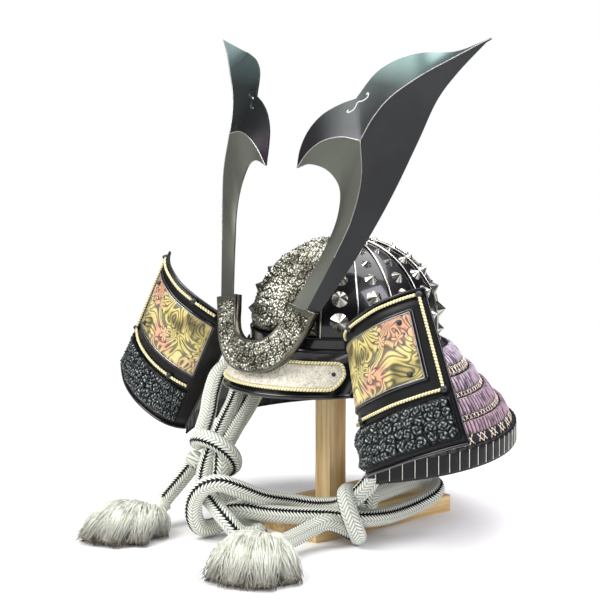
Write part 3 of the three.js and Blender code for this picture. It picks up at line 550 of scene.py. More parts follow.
# Satin lacquer on the wings and the neck guard: the same black, rubbed down to a soft gloss.
satin, tree, place = new_finish("satin black lacquer")
rubbed = add_node(tree, "TexNoise", Vector=place, Scale=260.0, Detail=3.0)
worn = add_node(tree, "MapRange", Value=rubbed, To_Min=0.34, To_Max=0.5)
bump = add_node(tree, "Bump", Height=rubbed, Strength=0.12, Distance=0.0004)
shader = add_node(
    tree, "BsdfPrincipled", Base_Color=linear("#131315"), Roughness=worn, Specular_IOR_Level=0.3,
    Normal=bump,
)
add_node(tree, "OutputMaterial", Surface=shader)



def bright_metal(name, colour, scale, smooth, rough):
    """Bare metal whose fine scratches, about scale to the metre, take its gloss from smooth to rough."""
    finish, tree, place = new_finish(name)
    scratch = add_node(tree, "TexNoise", Vector=place, Scale=scale, Detail=2.0)
    worn = add_node(tree, "MapRange", Value=scratch, To_Min=smooth, To_Max=rough)
    shader = add_node(tree, "BsdfPrincipled", Base_Color=linear(colour), Metallic=1.0, Roughness=worn)
    add_node(tree, "OutputMaterial", Surface=shader)
    return finish


# Silver-plated brass: a clear metal gloss, with fine scratches that soften it a little.
silver = bright_metal("polished silver plate", "#d9d8cf", 700.0, 0.12, 0.3)
# Every other flute of a star rivet is painted dark, a painted reflection that gives the pinwheel look.
painted_dark_flute_silver = bright_metal("silver plate painted dark on alternate flutes", "#8d8b82", 500.0, 0.15, 0.35)
# Filed edges of the horns and wires: bare bright metal, brushed along the edge.
filed = bright_metal("filed bright metal edge", "#bdbdb9", 500.0, 0.25, 0.5)


def on_bowl(angle, up, out=0.0):
    """A place on the bowl: degrees round it from the front towards +X, degrees up the dome, metres out."""
    turn, rise = math.radians(angle), math.radians(up)
    level = math.cos(rise) if up > 0 else 1.0
    high = (DOME + (out if up > 0 else 0)) * math.sin(rise)
    return MIDDLE + Vector(
        ((ACROSS + out) * level * math.sin(turn), -(ALONG + out) * level * math.cos(turn), high)
    )


mesh = bmesh.new()
dome = lay_sheet(mesh, lambda u, v: on_bowl(360 * u, 90 - 109 * v), 128, 56, turned=True)
for vertex in dome:
    vertex.co.z = max(vertex.co.z, BOWL_FOOT)
bmesh.ops.remove_doubles(mesh, verts=dome, dist=1e-6)
bmesh.ops.recalc_face_normals(mesh, faces=mesh.faces)
bowl = new_piece("bowl_shell", mesh, [lacquer])
give_wall(bowl, BOWL_WALL)
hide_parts("bowl")

mesh = bmesh.new()
for k in range(PLATES):
    angle = (k + 0.5) * 360 / PLATES
    if min(angle, 360 - angle) > 360 / PLATES:
        path = even_points([on_bowl(angle, up, 0.0012) for up in range(-13, 76, 4)], 40)
        lay_tube(mesh, path, 0.0011, 8)
new_piece("bowl_ribs", mesh, [silver])

# Star rivets: how far up the dome in degrees, width and height in millimetres.
RIVET_ROWS = [
    (-8.2, 12.6, 6.4), (5.5, 19, 8.5), (21.5, 16.5, 7.6), (35.5, 13.5, 6.5), (48, 11, 5.6), (60, 8.5, 4.6),
    (71.5, 6.2, 3.6)
]
mesh = bmesh.new()
for k in range(PLATES):
    angle = k * 360 / PLATES
    side = min(angle, 360 - angle)
    for up, width, high in RIVET_ROWS:
        if side < 33.75 or (up < 0 and side < 71.3):
            continue
        rise = math.radians(max(up, 0))
        out = Vector((
            math.cos(rise) * math.sin(math.radians(angle)) / ACROSS,
            -math.cos(rise) * math.cos(math.radians(angle)) / ALONG, math.sin(rise) / DOME,
        )).normalized()
        foot = on_bowl(angle, up, -0.0004)
        lift = standing_on(foot + out * (high * 0.0005 + 0.0003), out)
        cone = bmesh.ops.create_cone(
            mesh, segments=16, radius1=width * 0.00053, radius2=0.00002, depth=high * 0.001 + 0.0006,
            cap_ends=True,
        )["verts"]
        # every other flute takes the painted dark reflection
        for face in {face for vertex in cone for face in vertex.link_faces}:
            middle = face.calc_center_median()
            face.material_index = int(math.atan2(middle.y, middle.x) / math.tau * 16 + 16) % 2
        bmesh.ops.transform(mesh, matrix=lift, verts=cone)
new_piece("star_rivets", mesh, [silver, painted_dark_flute_silver], smooth=False)

# The brow band round the bowl's foot: a half-round lacquered moulding.
mesh = bmesh.new()
band = lay_sheet(mesh, lambda u, v: (
    on_bowl(
        360 * u, 0, 0.0007 + 0.0019 * math.sin(math.pi * v) ** 0.5
    ) + Vector((0, 0, -0.0216 - 0.0114 * v))
), 128, 8, turned=True)
bmesh.ops.remove_doubles(mesh, verts=band, dist=1e-6)
band = new_piece("brow_band", mesh, [lacquer])
give_wall(band, 0.0004)
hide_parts("bowl_band")

# ---------------------------------------------------------------- front relief
# A cast plate of cloud scrolls in antique silver that covers the front of the bowl.
# It is cast in one piece, and bosses swell out of it under the scrolls.


def cast_metal(name, grit_scale, grit_share, stops, strength, metallic, roughness):
    """Cast metal with a fine grit, coloured from its blackened hollows up to its high places."""
    finish, tree, place = new_finish(name)
    height = add_node(tree, "Attribute", attribute_name="relief")
    grit = add_node(tree, "TexNoise", Vector=place, Scale=grit_scale, Detail=3.0)
    level = add_node(tree, "Math", grit, grit_share, height.outputs["Fac"], operation="MULTIPLY_ADD")
    patina = add_node(tree, "ValToRGB", Fac=level, stops=stops)
    bump = add_node(tree, "Bump", Height=grit, Strength=strength, Distance=0.0006)
    shader = add_node(
        tree, "BsdfPrincipled", Base_Color=patina, Metallic=metallic, Roughness=roughness, Normal=bump,
    )
    add_node(tree, "OutputMaterial", Surface=shader)
    return finish


# Antique silver: bright on the high places, blackened in the hollows of the casting.
ANTIQUE = [(0.18, "#0c0c08"), (0.42, "#4f4d42"), (0.72, "#9f9e8f"), (1.0, "#e2e2d6")]
antique = cast_metal("antique cast silver", 420.0, 0.3, ANTIQUE, 0.35, 0.85, 0.3)
# Oxidised silver on the carved bands of the wings is nearly black in the hollows.
OXIDISED = [(0.22, "#060707"), (0.52, "#1f2223"), (0.82, "#434848"), (1.0, "#8f9595")]
oxidised = cast_metal("oxidised cast silver", 380.0, 0.35, OXIDISED, 0.4, 0.8, 0.32)


def scrollwork(x, y):
    """Height from 0 to 1 of cast scrolls, one spiral round each point of a loose grid one unit apart."""
    best, second, found = 9.0, 9.0, None
    for i in range(math.floor(x) - 1, math.floor(x) + 2):
        for j in range(math.floor(y) - 1, math.floor(y) + 2):
            dx = x - i - 0.5 - 0.6 * (chance(i, j, 1) - 0.5)
            dy = y - j - 0.5 - 0.6 * (chance(i, j, 2) - 0.5)
            far = math.hypot(dx, dy)
            if far < best:
                best, second, found = far, best, (dx, dy, i, j)
            elif far < second:
                second = far
    dx, dy, i, j = found
    hand = 1 if chance(i, j, 3) > 0.5 else -1
    turn = hand * math.atan2(dy, dx) + 6.3 * chance(i, j, 4)
    spiral = abs(math.cos(0.5 * turn + math.pi * best * 2.6))
    leaf = 0.75 + 0.25 * math.cos(5 * turn + 9 * best)
    return min(1.0, 5 * (second - best) + 0.12) * (0.12 + 0.88 * spiral**0.8 * leaf)


def swell(u, v, across, up):
    """Height from 0 to 1 of uneven bosses, about so many across and up."""
    return min(1.0, max(0.0, 0.5 + 0.9 * noise.noise(Vector((u * across, v * up, 3.7)))))


def front_face(u, v):
    up = 79 - 83.5 * v
    half = 540 / PLATES - math.degrees(0.0022 / (ACROSS * math.cos(math.radians(up))))
    return on_bowl((2 * u - 1) * half, up, 0.0007)


def front_scrolls(u, v):
    wide = 6.2 * math.cos(math.radians(79 - 83.5 * v)) + 0.6
    return scrollwork((2 * u - 1) * wide * 0.9 + 40, v * 15)


def front_rim(u, v):
    return min(1, 14 * min(u, 1 - u), 14 * min(v, 1 - v))


mesh = bmesh.new()
lay_sheet(
    mesh, front_face, 132, 164,
    lift=lambda u, v: 0.0014 + front_rim(u, v) * (0.0026 * swell(u, v, 5, 9) + 0.0022 * front_scrolls(u, v)),
    relief=lambda u, v: front_scrolls(u, v) * front_rim(u, v) * (0.45 + 0.8 * swell(u, v, 5, 9)),
)
plate = new_piece("front_relief", mesh, [antique])
give_wall(plate, 0.0012)
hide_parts("front_plate")

# ---------------------------------------------------------------- peak
# A lacquered iron peak with a rolled edge, riveted to the brow band.
# An inset of printed white leather lies on it, edged with twisted gold piping.


def peak_face(u, v):
    side = 2 * u - 1
    root = on_bowl(side * 60, -1, 0.005)
    if v < 0.2:
        return Vector((root.x, root.y, 0.221 - 0.0125 * v / 0.2))
    t = (v - 0.2) / 0.8
    turn = math.radians(side * 74)
    rim = Vector((0.095 * math.sin(turn), -0.030 - 0.093 * math.cos(turn), 0.162))
    belly = 0.0045 * math.sin(math.pi * t)
    place = Vector((root.x, root.y, 0.2085)).lerp(rim, t)
    return place + Vector((math.sin(turn), -math.cos(turn), 0.7)) * belly


mesh = bmesh.new()
lay_sheet(mesh, peak_face, 96, 30)
peak = new_piece("peak", mesh, [lacquer])
give_wall(peak, 0.0022)
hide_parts("visor")

mesh = bmesh.new()
lay_tube(
    mesh, even_points([peak_face(i / 40, 1.0) + Vector((0, 0, 0.0008)) for i in range(41)], 160), 0.0026, 12
)
lay_tube(mesh, even_points([peak_face(i / 40, 0.24) for i in range(41)], 160), 0.0014, 8)
new_piece("peak_rolled_edge", mesh, [lacquer])


def off_peak(u, v, out):
    """A place above the peak's outside, metres out along its normal."""
    here = peak_face(u, v)
    along = peak_face(u, min(1, v + 0.01)) - peak_face(u, max(0.21, v - 0.01))
    across = peak_face(min(1, u + 0.01), v) - peak_face(max(0, u - 0.01), v)
    return here + along.cross(across).normalized() * out


def inset(u, v, out=0.0):
    side = 2 * u - 1
    past = max(0.0, (abs(side) - 0.88) / 0.12)
    tall = 0.188 * math.sqrt(max(0.02, 1 - past * past))
    return off_peak(0.5 + side * 0.435, 0.675 + tall * (2 * v - 1), out)


# White deer leather with a pebbled, printed face: a dull sheen and a grain of 1 to 2 mm.
leather, tree, place = new_finish("pebbled white deer leather")
pebble = add_node(tree, "TexVoronoi", Vector=place, Scale=620.0)
patch = add_node(
    tree, "TexNoise", Vector=place, Scale=160.0, Detail=5.0, Roughness=0.65,
)
both = add_node(tree, "Math", pebble.outputs["Distance"], -0.5, patch, operation="MULTIPLY_ADD")
tan = add_node(
    tree, "ValToRGB", Fac=both, stops=[(0.0, "#b3ac96"), (0.2, "#dcd6c4"), (0.45, "#f3efe2")],
)
bump = add_node(tree, "Bump", Height=both, Strength=0.7, Distance=0.0009)
shader = add_node(
    tree, "BsdfPrincipled", Base_Color=tan, Roughness=0.38, Coat_Weight=0.6, Coat_Roughness=0.22,
    Normal=bump,
)
add_node(tree, "OutputMaterial", Surface=shader)

mesh = bmesh.new()
lay_sheet(mesh, lambda u, v: inset(u, v, 0.0019), 120, 12)
hide = new_piece("peak_leather", mesh, [leather])
give_wall(hide, 0.0009)
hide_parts("visor_leather")

# Gold-wrapped twist: pale gilt thread over a cord, with a painted highlight on each turn and painted shade
# between them.
gilt, tree, _ = new_finish("pale gilt twist")
turns = add_node(tree, "Attribute", attribute_name="relief")
# Painted shade between the turns, painted highlight on top of each.
gold = add_node(
    tree, "ValToRGB", Fac=turns.outputs["Fac"],
    stops=[(0.1, "#6b5a34"), (0.45, "#dccf96"), (0.9, "#fbf5c6")],
)
shader = add_node(tree, "BsdfPrincipled", Base_Color=gold, Metallic=0.25, Roughness=0.4)
add_node(tree, "OutputMaterial", Surface=shader)
TWIST_PITCH = 0.0034


def twist_height(along, around):
    """One turn of two-strand twist, from 0 between the strands to 1 on top of one."""
    return abs(math.sin(math.pi * (along / TWIST_PITCH + around)))


def lay_twist(mesh, path, radius, closed=False):
    """A length of twist; its turns are kept as the attribute relief."""
    before = set(mesh.verts)
    lay_tube(mesh, path, radius, 10, lambda along, around: 0.72 + 0.34 * twist_height(along, around), closed)
    layer, uv = mesh.verts.layers.float["relief"], mesh.loops.layers.uv.verify()
    for vertex in set(mesh.verts) - before:
        along, around = vertex.link_loops[0][uv].uv
        vertex[layer] = twist_height(along, around)


edge = [inset(i / 40, -0.06, 0.0024) for i in range(41)] + [
    inset(1 - i / 40, 1.06, 0.0024)
    for i in range(41)
]
mesh = bmesh.new()
ring = even_points(edge + [edge[0]], 620)
lay_twist(mesh, ring, 0.0017, closed=True)
new_piece("peak_piping", mesh, [gilt])

mesh = bmesh.new()
for side in (-1, 1):
    place = inset(0.5 + 0.447 * side, 0.42, 0.0022)
    out = (inset(0.5 + 0.447 * side, 0.42, 0.01) - place).normalized()
    stud = bmesh.ops.create_uvsphere(mesh, u_segments=16, v_segments=8, radius=0.0024)["verts"]
    bmesh.ops.scale(mesh, vec=(1, 1, 0.4), verts=stud)
    bmesh.ops.transform(mesh, matrix=standing_on(place, out), verts=stud)
new_piece("peak_rivets", mesh, [steel])

# ---------------------------------------------------------------- crest holder
# A U-shaped holder of cast antique silver with polished walls, on a tab that stands out from the peak.
# Both horns stand in sockets in the tops of its arms.
HOLDER = [  # places on the inner and the outer edge, from the middle of the front to the top of the left arm
    (at(0, -117, 218), at(0, -124, 184)), (at(15, -116, 219.5), at(26, -122, 187)),
    (at(27, -112.5, 225.5), at(46, -116, 196.5)), (at(35, -107.5, 235), at(60.5, -109.5, 211.5)),
    (at(40, -102.5, 247), at(71, -102, 230)), (at(43.5, -99, 261), at(80.5, -95.5, 253.5)),
]
mirror = Matrix.Scale(-1, 3, (1, 0, 0))
holder_inner = [mirror @ pair[0] for pair in reversed(HOLDER[1:])] + [pair[0] for pair in HOLDER]
holder_outer = [mirror @ pair[1] for pair in reversed(HOLDER[1:])] + [pair[1] for pair in HOLDER]


def holder_face(u, v):
    return curve_point(holder_inner, u).lerp(curve_point(holder_outer, u), v)


def holder_rim(u, v):
    return min(1, max(0, 12 * min(v, 1 - v) - 0.7), max(0, 30 * min(u, 1 - u) - 0.7))


def holder_scrolls(u, v):
    return scrollwork(u * 23 + 80, v * 4.1 + 5)


# Dark polished bronze on the holder's walls: a smooth gloss with a brown cast.
bronze, tree, place = new_finish("dark polished bronze")
cloud = add_node(tree, "TexNoise", Vector=place, Scale=60.0, Detail=3.0)
brown = add_node(tree, "ValToRGB", Fac=cloud, stops=[(0.3, "#3c3831"), (0.7, "#6e695e")])
shader = add_node(tree, "BsdfPrincipled", Base_Color=brown, Metallic=1.0, Roughness=0.22)
add_node(tree, "OutputMaterial", Surface=shader)

mesh = bmesh.new()
lay_sheet(
    mesh, holder_face, 330, 46,
    lift=lambda u, v: 0.0012 + holder_rim(u, v) * (
        0.0012 * swell(u, v, 16, 2) + 0.0022 * holder_scrolls(u, v) - 0.0012
    ),
    relief=lambda u, v: holder_scrolls(u, v) * (
        0.5 + 0.7 * swell(u, v, 16, 2)
    ) if holder_rim(u, v) > 0.2 else 0.42,
)
holder = new_piece("crest_holder_cast", mesh, [antique, bronze])
wall = give_wall(holder, 0.0085)
wall.material_offset = wall.material_offset_rim = 1
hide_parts("crest_holder")
refinish("crest_bracket", steel)

# ---------------------------------------------------------------- horns
# A pair of tall plate horns, each of three faces that meet on a ridge and a crease.
# They are cut from brass, plated gunmetal grey, with filed edges and a hook pierced beside the notch.


def blasted_metal(name, dark, pale, metallic, roughness):
    """Bead-blasted plate with a faint cloud over it. A pair for the roughness is spread over the cloud."""
    finish, tree, place = new_finish(name)
    blast = add_node(tree, "TexNoise", Vector=place, Scale=1500.0, Detail=2.0)
    cloud = add_node(tree, "TexNoise", Vector=place, Scale=14.0, Detail=3.0)
    if isinstance(roughness, tuple):
        roughness = add_node(tree, "MapRange", Value=cloud, To_Min=roughness[0], To_Max=roughness[1])
    bump = add_node(tree, "Bump", Height=blast, Strength=0.15, Distance=0.0003)
    shade = add_node(tree, "ValToRGB", Fac=cloud, stops=[(0.35, dark), (0.7, pale)])
    shader = add_node(
        tree, "BsdfPrincipled", Base_Color=shade, Metallic=metallic, Roughness=roughness, Normal=bump,
    )
    add_node(tree, "OutputMaterial", Surface=shader)
    return finish


# Gunmetal plating, bead-blasted to a soft gloss.
gunmetal = blasted_metal("bead-blasted gunmetal plate", "#3a3b3c", "#444546", 0.7, (0.44, 0.54))
# The hollow faces below the crease are the same plate painted lighter, as painted light where they face the
# front.
painted_lit_gunmetal = blasted_metal("bead-blasted gunmetal plate painted lighter as lit", "#6a6d64", "#767970", 0.85, 0.42)
# Heat has tinted the broad leaf blue-green and violet, and a painted highlight brightens it towards its top.
temper_tint_and_highlight, tree, place = new_finish("gunmetal plate in temper colours, with a painted highlight")
split = add_node(tree, "SeparateXYZ", place)
cloud = add_node(tree, "TexNoise", Vector=place, Scale=9.0, Detail=2.0)
level = add_node(tree, "Math", cloud, 0.03, split.outputs[2], operation="MULTIPLY_ADD")
temper_and_highlight_level = add_node(tree, "MapRange", Value=level, From_Min=0.415, From_Max=0.55)
shade = add_node(
    # The ramp brightens to a painted highlight at the top of the leaf.
    tree, "ValToRGB", Fac=temper_and_highlight_level,
    stops=[
        (0.0, "#3e3b42"), (0.14, "#474149"), (0.3, "#37393a"), (0.62, "#3f4645"), (0.85, "#6f8582"),
        (1.0, "#8ba09d"),
    ],
)
bump = add_node(tree, "Bump", Height=cloud, Strength=0.1, Distance=0.0005)
shader = add_node(
    tree, "BsdfPrincipled", Base_Color=shade, Metallic=0.85, Roughness=0.33, Normal=bump,
)
add_node(tree, "OutputMaterial", Surface=shader)

TIP, BARB = at(213.5, 21.5, 535), at(25.6, -72.3, 399.8)
MEET, NOTCH = at(106.3, -56.5, 431), at(81, -39, 473.2)
ridge_high = [
    TIP, at(184, 3.5, 517), at(153.5, -17.5, 497), at(126.5, -35.5, 474), at(113.5, -46.5, 453), MEET
]
ridge_low = [MEET, at(112, -60, 393), at(105.6, -68, 350), at(92.5, -79.5, 311), at(70.7, -98.4, 255)]
crease = [MEET, at(84, -61.5, 434.2), at(60, -67.5, 429), at(41.4, -70.5, 417), BARB]
lobe_high = [
    TIP, at(168.5, 17.5, 521.5), at(138, -2.5, 519.8), at(113, -13, 512.5), at(94.5, -23.5, 499.5), NOTCH
]
lobe_low = [
    NOTCH, at(63, -46, 466.5), at(44.5, -54.5, 455), at(31.8, -62, 438.5), at(26.2, -68.5, 419), BARB
]
horn_inner = [
    BARB, at(43, -70.5, 404.5), at(64, -64, 399), at(79, -60.5, 382), at(82.5, -66, 352),
    at(71.5, -78.8, 311), at(49, -100, 257.5),
]
horn_outer = [
    TIP, at(181, 7, 499), at(164, -2, 474), at(151, -17, 431), at(134.5, -41.5, 370), at(109.5, -63.5, 311),
    at(81.6, -88.6, 254.5),
]
HORN_WALL = 0.0022
HIGH, FAN, LOW = 32, 24, 32  # steps along the upper ridge, the crease and the lower ridge
upper_edge = even_points(lobe_high, HIGH) + even_points(lobe_low, FAN)[1:]
upper_line = even_points(ridge_high, HIGH) + even_points(crease, FAN)[1:]
lower_edge = even_points(horn_inner, FAN + LOW)
lower_line = even_points(crease, FAN)[::-1] + even_points(ridge_low, LOW)[1:]
ridge_line = even_points(ridge_high, HIGH) + even_points(ridge_low, LOW)[1:]
back_edge = even_points(horn_outer, HIGH + LOW)

horn = bmesh.new()
# Kind 1, the upper leaf, takes the tint with its painted highlight; kind 3, the lower face, the plate
# painted lighter as lit; kind 0, the outer flank, the plain plate.
for left, right, kind in (
    (upper_edge, upper_line, 1), (lower_edge, lower_line, 3), (ridge_line, back_edge, 0)
):
    rows = len(left) - 1
    before = set(horn.faces)
    lay_sheet(horn, lambda u, v: left[round(v * rows)].lerp(right[round(v * rows)], u), 6, rows)
    for face in set(horn.faces) - before:
        face.material_index = kind
bmesh.ops.remove_doubles(horn, verts=horn.verts, dist=2e-5)
bmesh.ops.dissolve_degenerate(horn, edges=horn.edges, dist=1e-6)
bmesh.ops.solidify(horn, geom=horn.faces[:], thickness=HORN_WALL)
bmesh.ops.recalc_face_normals(horn, faces=horn.faces)
sharp = [
    edge
    for edge in horn.edges if len(edge.link_faces) == 2 and edge.calc_face_angle(0) > math.radians(50)
]
for face in bmesh.ops.bevel(
    horn, geom=sharp, affect="EDGES", offset=0.0007, segments=1, profile=0.5, material=-1,
    clamp_overlap=True,
)["faces"]:
    face.material_index = 2

CURL = [
    at(91.4, -35.5, 477.8), at(92.6, -34.1, 480.1), at(96.1, -34.6, 478.6), at(96.8, -36.6, 474.8),
    at(93.7, -38.6, 471.7),
    at(89.9, -40, 469.9), at(85.9, -40.8, 469), at(85.8, -42.5, 466), at(84.6, -44.9, 461.9),
    at(81.7, -46.5, 459.5),
    at(78.3, -47.6, 458.2), at(74.8, -47.1, 459.6), at(75.4, -45.6, 462.2),
]
through = Vector((0.6, -0.78, 0.18)).normalized()
slot = bmesh.new()
hook = even_points(CURL, 48)
lay_sheet(slot, lambda u, v: hook[round(u * 48)] + through * (0.014 * v - 0.007), 48, 1)
bmesh.ops.solidify(slot, geom=slot.faces[:], thickness=0.002)
bmesh.ops.recalc_face_normals(slot, faces=slot.faces)
slot_mesh = bpy.data.meshes.new("hook cutter")
slot.to_mesh(slot_mesh)
slot.free()
cutter = new_object("hook cutter", slot_mesh)

whole = bpy.data.meshes.new("horn")
horn.to_mesh(whole)
horn.free()
for finish in (gunmetal, temper_tint_and_highlight, filed, painted_lit_gunmetal):
    whole.materials.append(finish)
blank = new_object("horn", whole)
pierce = blank.modifiers.new("pierce", "BOOLEAN")
pierce.object, pierce.operation, pierce.solver, pierce.use_self = cutter, "DIFFERENCE", "EXACT", True
pierced = worked_out(blank)
bpy.data.objects.remove(cutter)


def mirror_pair(name, source, finishes, slot_name, *nodes):
    """The left piece from a mesh and the right piece as its mirror image; both replace their solids."""
    pair = []
    for side in ("left", "right"):
        mesh = source.copy()
        if side == "right":
            bmesh.ops.scale(mesh, vec=(-1, 1, 1), verts=mesh.verts)
            bmesh.ops.reverse_faces(mesh, faces=mesh.faces)
        piece = new_piece(f"{name}_{side}", mesh, finishes)
        pair.append(piece)
        if nodes:
            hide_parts(*(f"{node}_{side}" for node in nodes))
    source.free()
    return pair


mesh = bmesh.new()
mesh.from_mesh(pierced)
for edge in mesh.edges:
    edge.smooth = edge.calc_face_angle(0) < math.radians(16)
mirror_pair("horn_plate", mesh, [gunmetal, temper_tint_and_highlight, filed, painted_lit_gunmetal], "gunmetal", "horn")

# The ridge and the crease are filed bright too.
mesh = bmesh.new()
lay_tube(mesh, even_points(ridge_high, 60), 0.0006, 6)
lay_tube(mesh, even_points(crease, 50), 0.0006, 6)
lay_tube(mesh, even_points(ridge_low[:-1], 60), 0.0006, 6)
mirror_pair("horn_ridge_line", mesh, [filed], "silver")

# ---------------------------------------------------------------- wings
# Lacquered iron wings that sweep out at the temples, each made of one curved plate.
# On it lie a printed leather in a raised frame, twisted gilt beading with rivets, and a carved band.
WING = [  # places on the top and the bottom edge, from the temple round to the free side
    (at(103, -50, 218), at(158, -84, 92)), (at(104, -64, 225), at(160, -93, 94)),
    (at(110, -77, 234), at(165, -101, 97)),
    (at(119, -85.5, 242.5), at(174, -106.5, 101)), (at(131, -90, 250), at(186, -109.5, 106)),
    (at(150, -93, 261), at(208, -111, 115.5)), (at(168, -90.5, 272), at(229, -108.5, 125)),
    (at(184, -84, 280), at(249, -102, 133.5)), (at(197, -75, 286), at(268, -92, 141.5)),
    (at(208, -65, 289.5), at(286, -80.5, 148.5)),
]
wing_top, wing_low = [pair[0] for pair in WING], [pair[1] for pair in WING]


def wing_face(u, v):
    return curve_point(wing_top, u).lerp(curve_point(wing_low, u), v)


def off_wing(u, v, out):
    """A place above the wing's outside, metres out along its normal."""
    across = wing_face(min(1, u + 0.004), v) - wing_face(max(0, u - 0.004), v)
    along = wing_face(u, 1) - wing_face(u, 0)
    return wing_face(u, v) + along.cross(across).normalized() * out


mesh = bmesh.new()
lay_sheet(mesh, wing_face, 72, 10)
rim = [wing_face(i / 40, 0) for i in range(41)] + [wing_face(1, i / 10) for i in range(1, 11)]
rim += [wing_face(1 - i / 40, 1) for i in range(1, 41)] + [wing_face(0, 1 - i / 10) for i in range(1, 10)]
plates = mirror_pair("wing_sheet", mesh, [satin], "lacquer", "wing_plate")
for plate in plates:
    give_wall(plate, 0.002)
mesh = bmesh.new()
lay_tube(mesh, even_points(rim + [rim[0]], 420), 0.0016, 8, closed=True)
mirror_pair("wing_rolled_rim", mesh, [lacquer], "lacquer")

# Leather with a printed ground of gold blossoms and swirling water, in yellow, orange and olive grey.
# The blossoms are about 30 mm across at their petals, and the water lines a few millimetres apart.
print_leather, tree, place = new_finish("printed deer leather")
spread = add_node(tree, "UVMap")
flow = add_node(tree, "TexNoise", Vector=spread, Scale=22.0, Detail=2.0, Distortion=1.2)
waves = add_node(tree, "Math", flow, 0.028, operation="PINGPONG")
flower = add_node(tree, "TexVoronoi", Vector=spread, Scale=27.0, Randomness=0.7)
seat = add_node(tree, "VectorMath", spread, flower.outputs["Position"], operation="SUBTRACT")
split = add_node(tree, "SeparateXYZ", seat)
turn = add_node(tree, "Math", split, split.outputs[1], operation="ARCTAN2")
five = add_node(tree, "Math", turn, 2.5, operation="MULTIPLY")
petal = add_node(tree, "Math", five, operation="SINE")
lobe = add_node(tree, "Math", petal, operation="ABSOLUTE")
edge = add_node(tree, "Math", lobe, 0.17, 0.22, operation="MULTIPLY_ADD")
inside = add_node(tree, "Math", flower.outputs["Distance"], edge, operation="DIVIDE")
ground = add_node(
    tree, "ValToRGB", Fac=waves,
    stops=[(0.0, "#66634c"), (0.009, "#85815f"), (0.0135, "#cbbb78"), (0.028, "#e2d494")],
)
bloom = add_node(
    tree, "ValToRGB", Fac=inside,
    stops=[
        (0.1, "#c07a52"), (0.3, "#efe2a4"), (0.5, "#e6a883"), (0.92, "#e8b690"), (0.97, "#55523f"),
    ],
)
on_bloom = add_node(tree, "Math", inside, 1.05, operation="LESS_THAN")
drift = add_node(tree, "TexNoise", Vector=spread, Scale=16.0, Detail=2.0)
tones = add_node(
    tree, "ValToRGB", Fac=drift,
    stops=[(0.38, "#85826f"), (0.45, "#fbf6dc"), (0.51, "#ffffff"), (0.58, "#ffcdee")],
)
toned = add_node(
    tree, "Mix", {0: 1.0, 6: ground, 7: tones}, data_type="RGBA", blend_type="MULTIPLY",
)
printed = add_node(tree, "Mix", {0: on_bloom, 6: toned.outputs[2], 7: bloom}, data_type="RGBA")
fine = add_node(tree, "TexNoise", Vector=place, Scale=900.0, Detail=3.0)
bump = add_node(tree, "Bump", Height=fine, Strength=0.35, Distance=0.0004)
shader = add_node(
    tree, "BsdfPrincipled", Base_Color=printed.outputs[2], Roughness=0.5, Coat_Weight=0.25,
    Coat_Roughness=0.35, Normal=bump,
)
add_node(tree, "OutputMaterial", Surface=shader)

U0, U1, V0, V1 = 0.19, 0.865, 0.125, 0.545
mesh = bmesh.new()
lay_sheet(
    mesh, lambda u, v: off_wing(U0 + u * (U1 - U0), V0 + v * (V1 - V0), 0.0019), 48, 12,
    map_size=(0.115, 0.062)
)
for hide in mirror_pair("wing_print", mesh, [print_leather], "print_leather", "wing_leather"):
    give_wall(hide, 0.001)

# The frame is a half-round moulding of black lacquer with a bright wire inside it.
corners = [(0.1775, 0.1175), (0.8775, 0.1175), (0.8775, 0.5535), (0.1775, 0.5535)]


def around_panel(out, inset_by=0.0, steps=30):
    """Places round the leather, metres off the wing and a share further in."""
    places = []
    for (u0, v0), (u1, v1) in zip(corners, corners[1:] + corners[:1]):
        for i in range(steps):
            u, v = u0 + (u1 - u0) * i / steps, v0 + (v1 - v0) * i / steps
            places.append(
                off_wing(
                    0.5275 + (u - 0.5275) * (1 - inset_by), 0.3355 + (v - 0.3355) * (1 - 1.3 * inset_by), out
                )
            )
    return places + places[:1]


mesh = bmesh.new()
lay_tube(mesh, even_points(around_panel(0.0007), 400), 0.0021, 10, closed=True)
mirror_pair("wing_panel_frame", mesh, [lacquer], "lacquer", "wing_frame")
mesh = bmesh.new()
lay_tube(mesh, even_points(around_panel(0.0022, 0.034), 400), 0.0005, 6, closed=True)
mirror_pair("wing_panel_wire", mesh, [filed], "silver")

mesh = bmesh.new()
for u0, v0, u1, v1 in ((0.2, 0.035, 0.955, 0.035), (0.955, 0.041, 0.955, 0.639), (0.955, 0.645, 0.2, 0.645)):
    run = [off_wing(u0 + (u1 - u0) * i / 40, v0 + (v1 - v0) * i / 40, 0.0023) for i in range(41)]
    lay_twist(mesh, even_points(run, round(length_of(run) / 0.0006)), 0.0017)
mirror_pair("wing_beading_twist", mesh, [gilt], "beading", "wing_beading")
mesh = bmesh.new()
for u, v in ((0.955, 0.035), (0.955, 0.645), (0.415, 0.035), (0.4, 0.645), (0.79, 0.17), (0.79, 0.50)):
    small = 0.62 if 0.1 < v < 0.6 else 1.0
    place = off_wing(u, v, 0.0)
    out = (off_wing(u, v, 0.01) - place).normalized()
    head = bmesh.ops.create_cone(
        mesh, segments=10, radius1=0.0052 * small, radius2=0.0026 * small, depth=0.0042 * small,
        cap_ends=True
    )["verts"]
    knob = bmesh.ops.create_uvsphere(mesh, u_segments=10, v_segments=6, radius=0.0022 * small)["verts"]
    bmesh.ops.translate(mesh, vec=(0, 0, 0.0016 * small), verts=knob)
    lift = standing_on(place + out * (0.0026 if small == 1 else 0.0034), out)
    bmesh.ops.transform(mesh, matrix=lift, verts=head + knob)
mirror_pair("wing_rivets", mesh, [steel], "gunmetal")

# The carved band: flowering scrolls in oxidised silver.


def carved_scrolls(u, v):
    return scrollwork(u * 15 + 120, v * 4.2 + 9)


def carved_rim(u, v):
    return min(1, 26 * min(u, 1 - u), 9 * min(v, 1 - v))


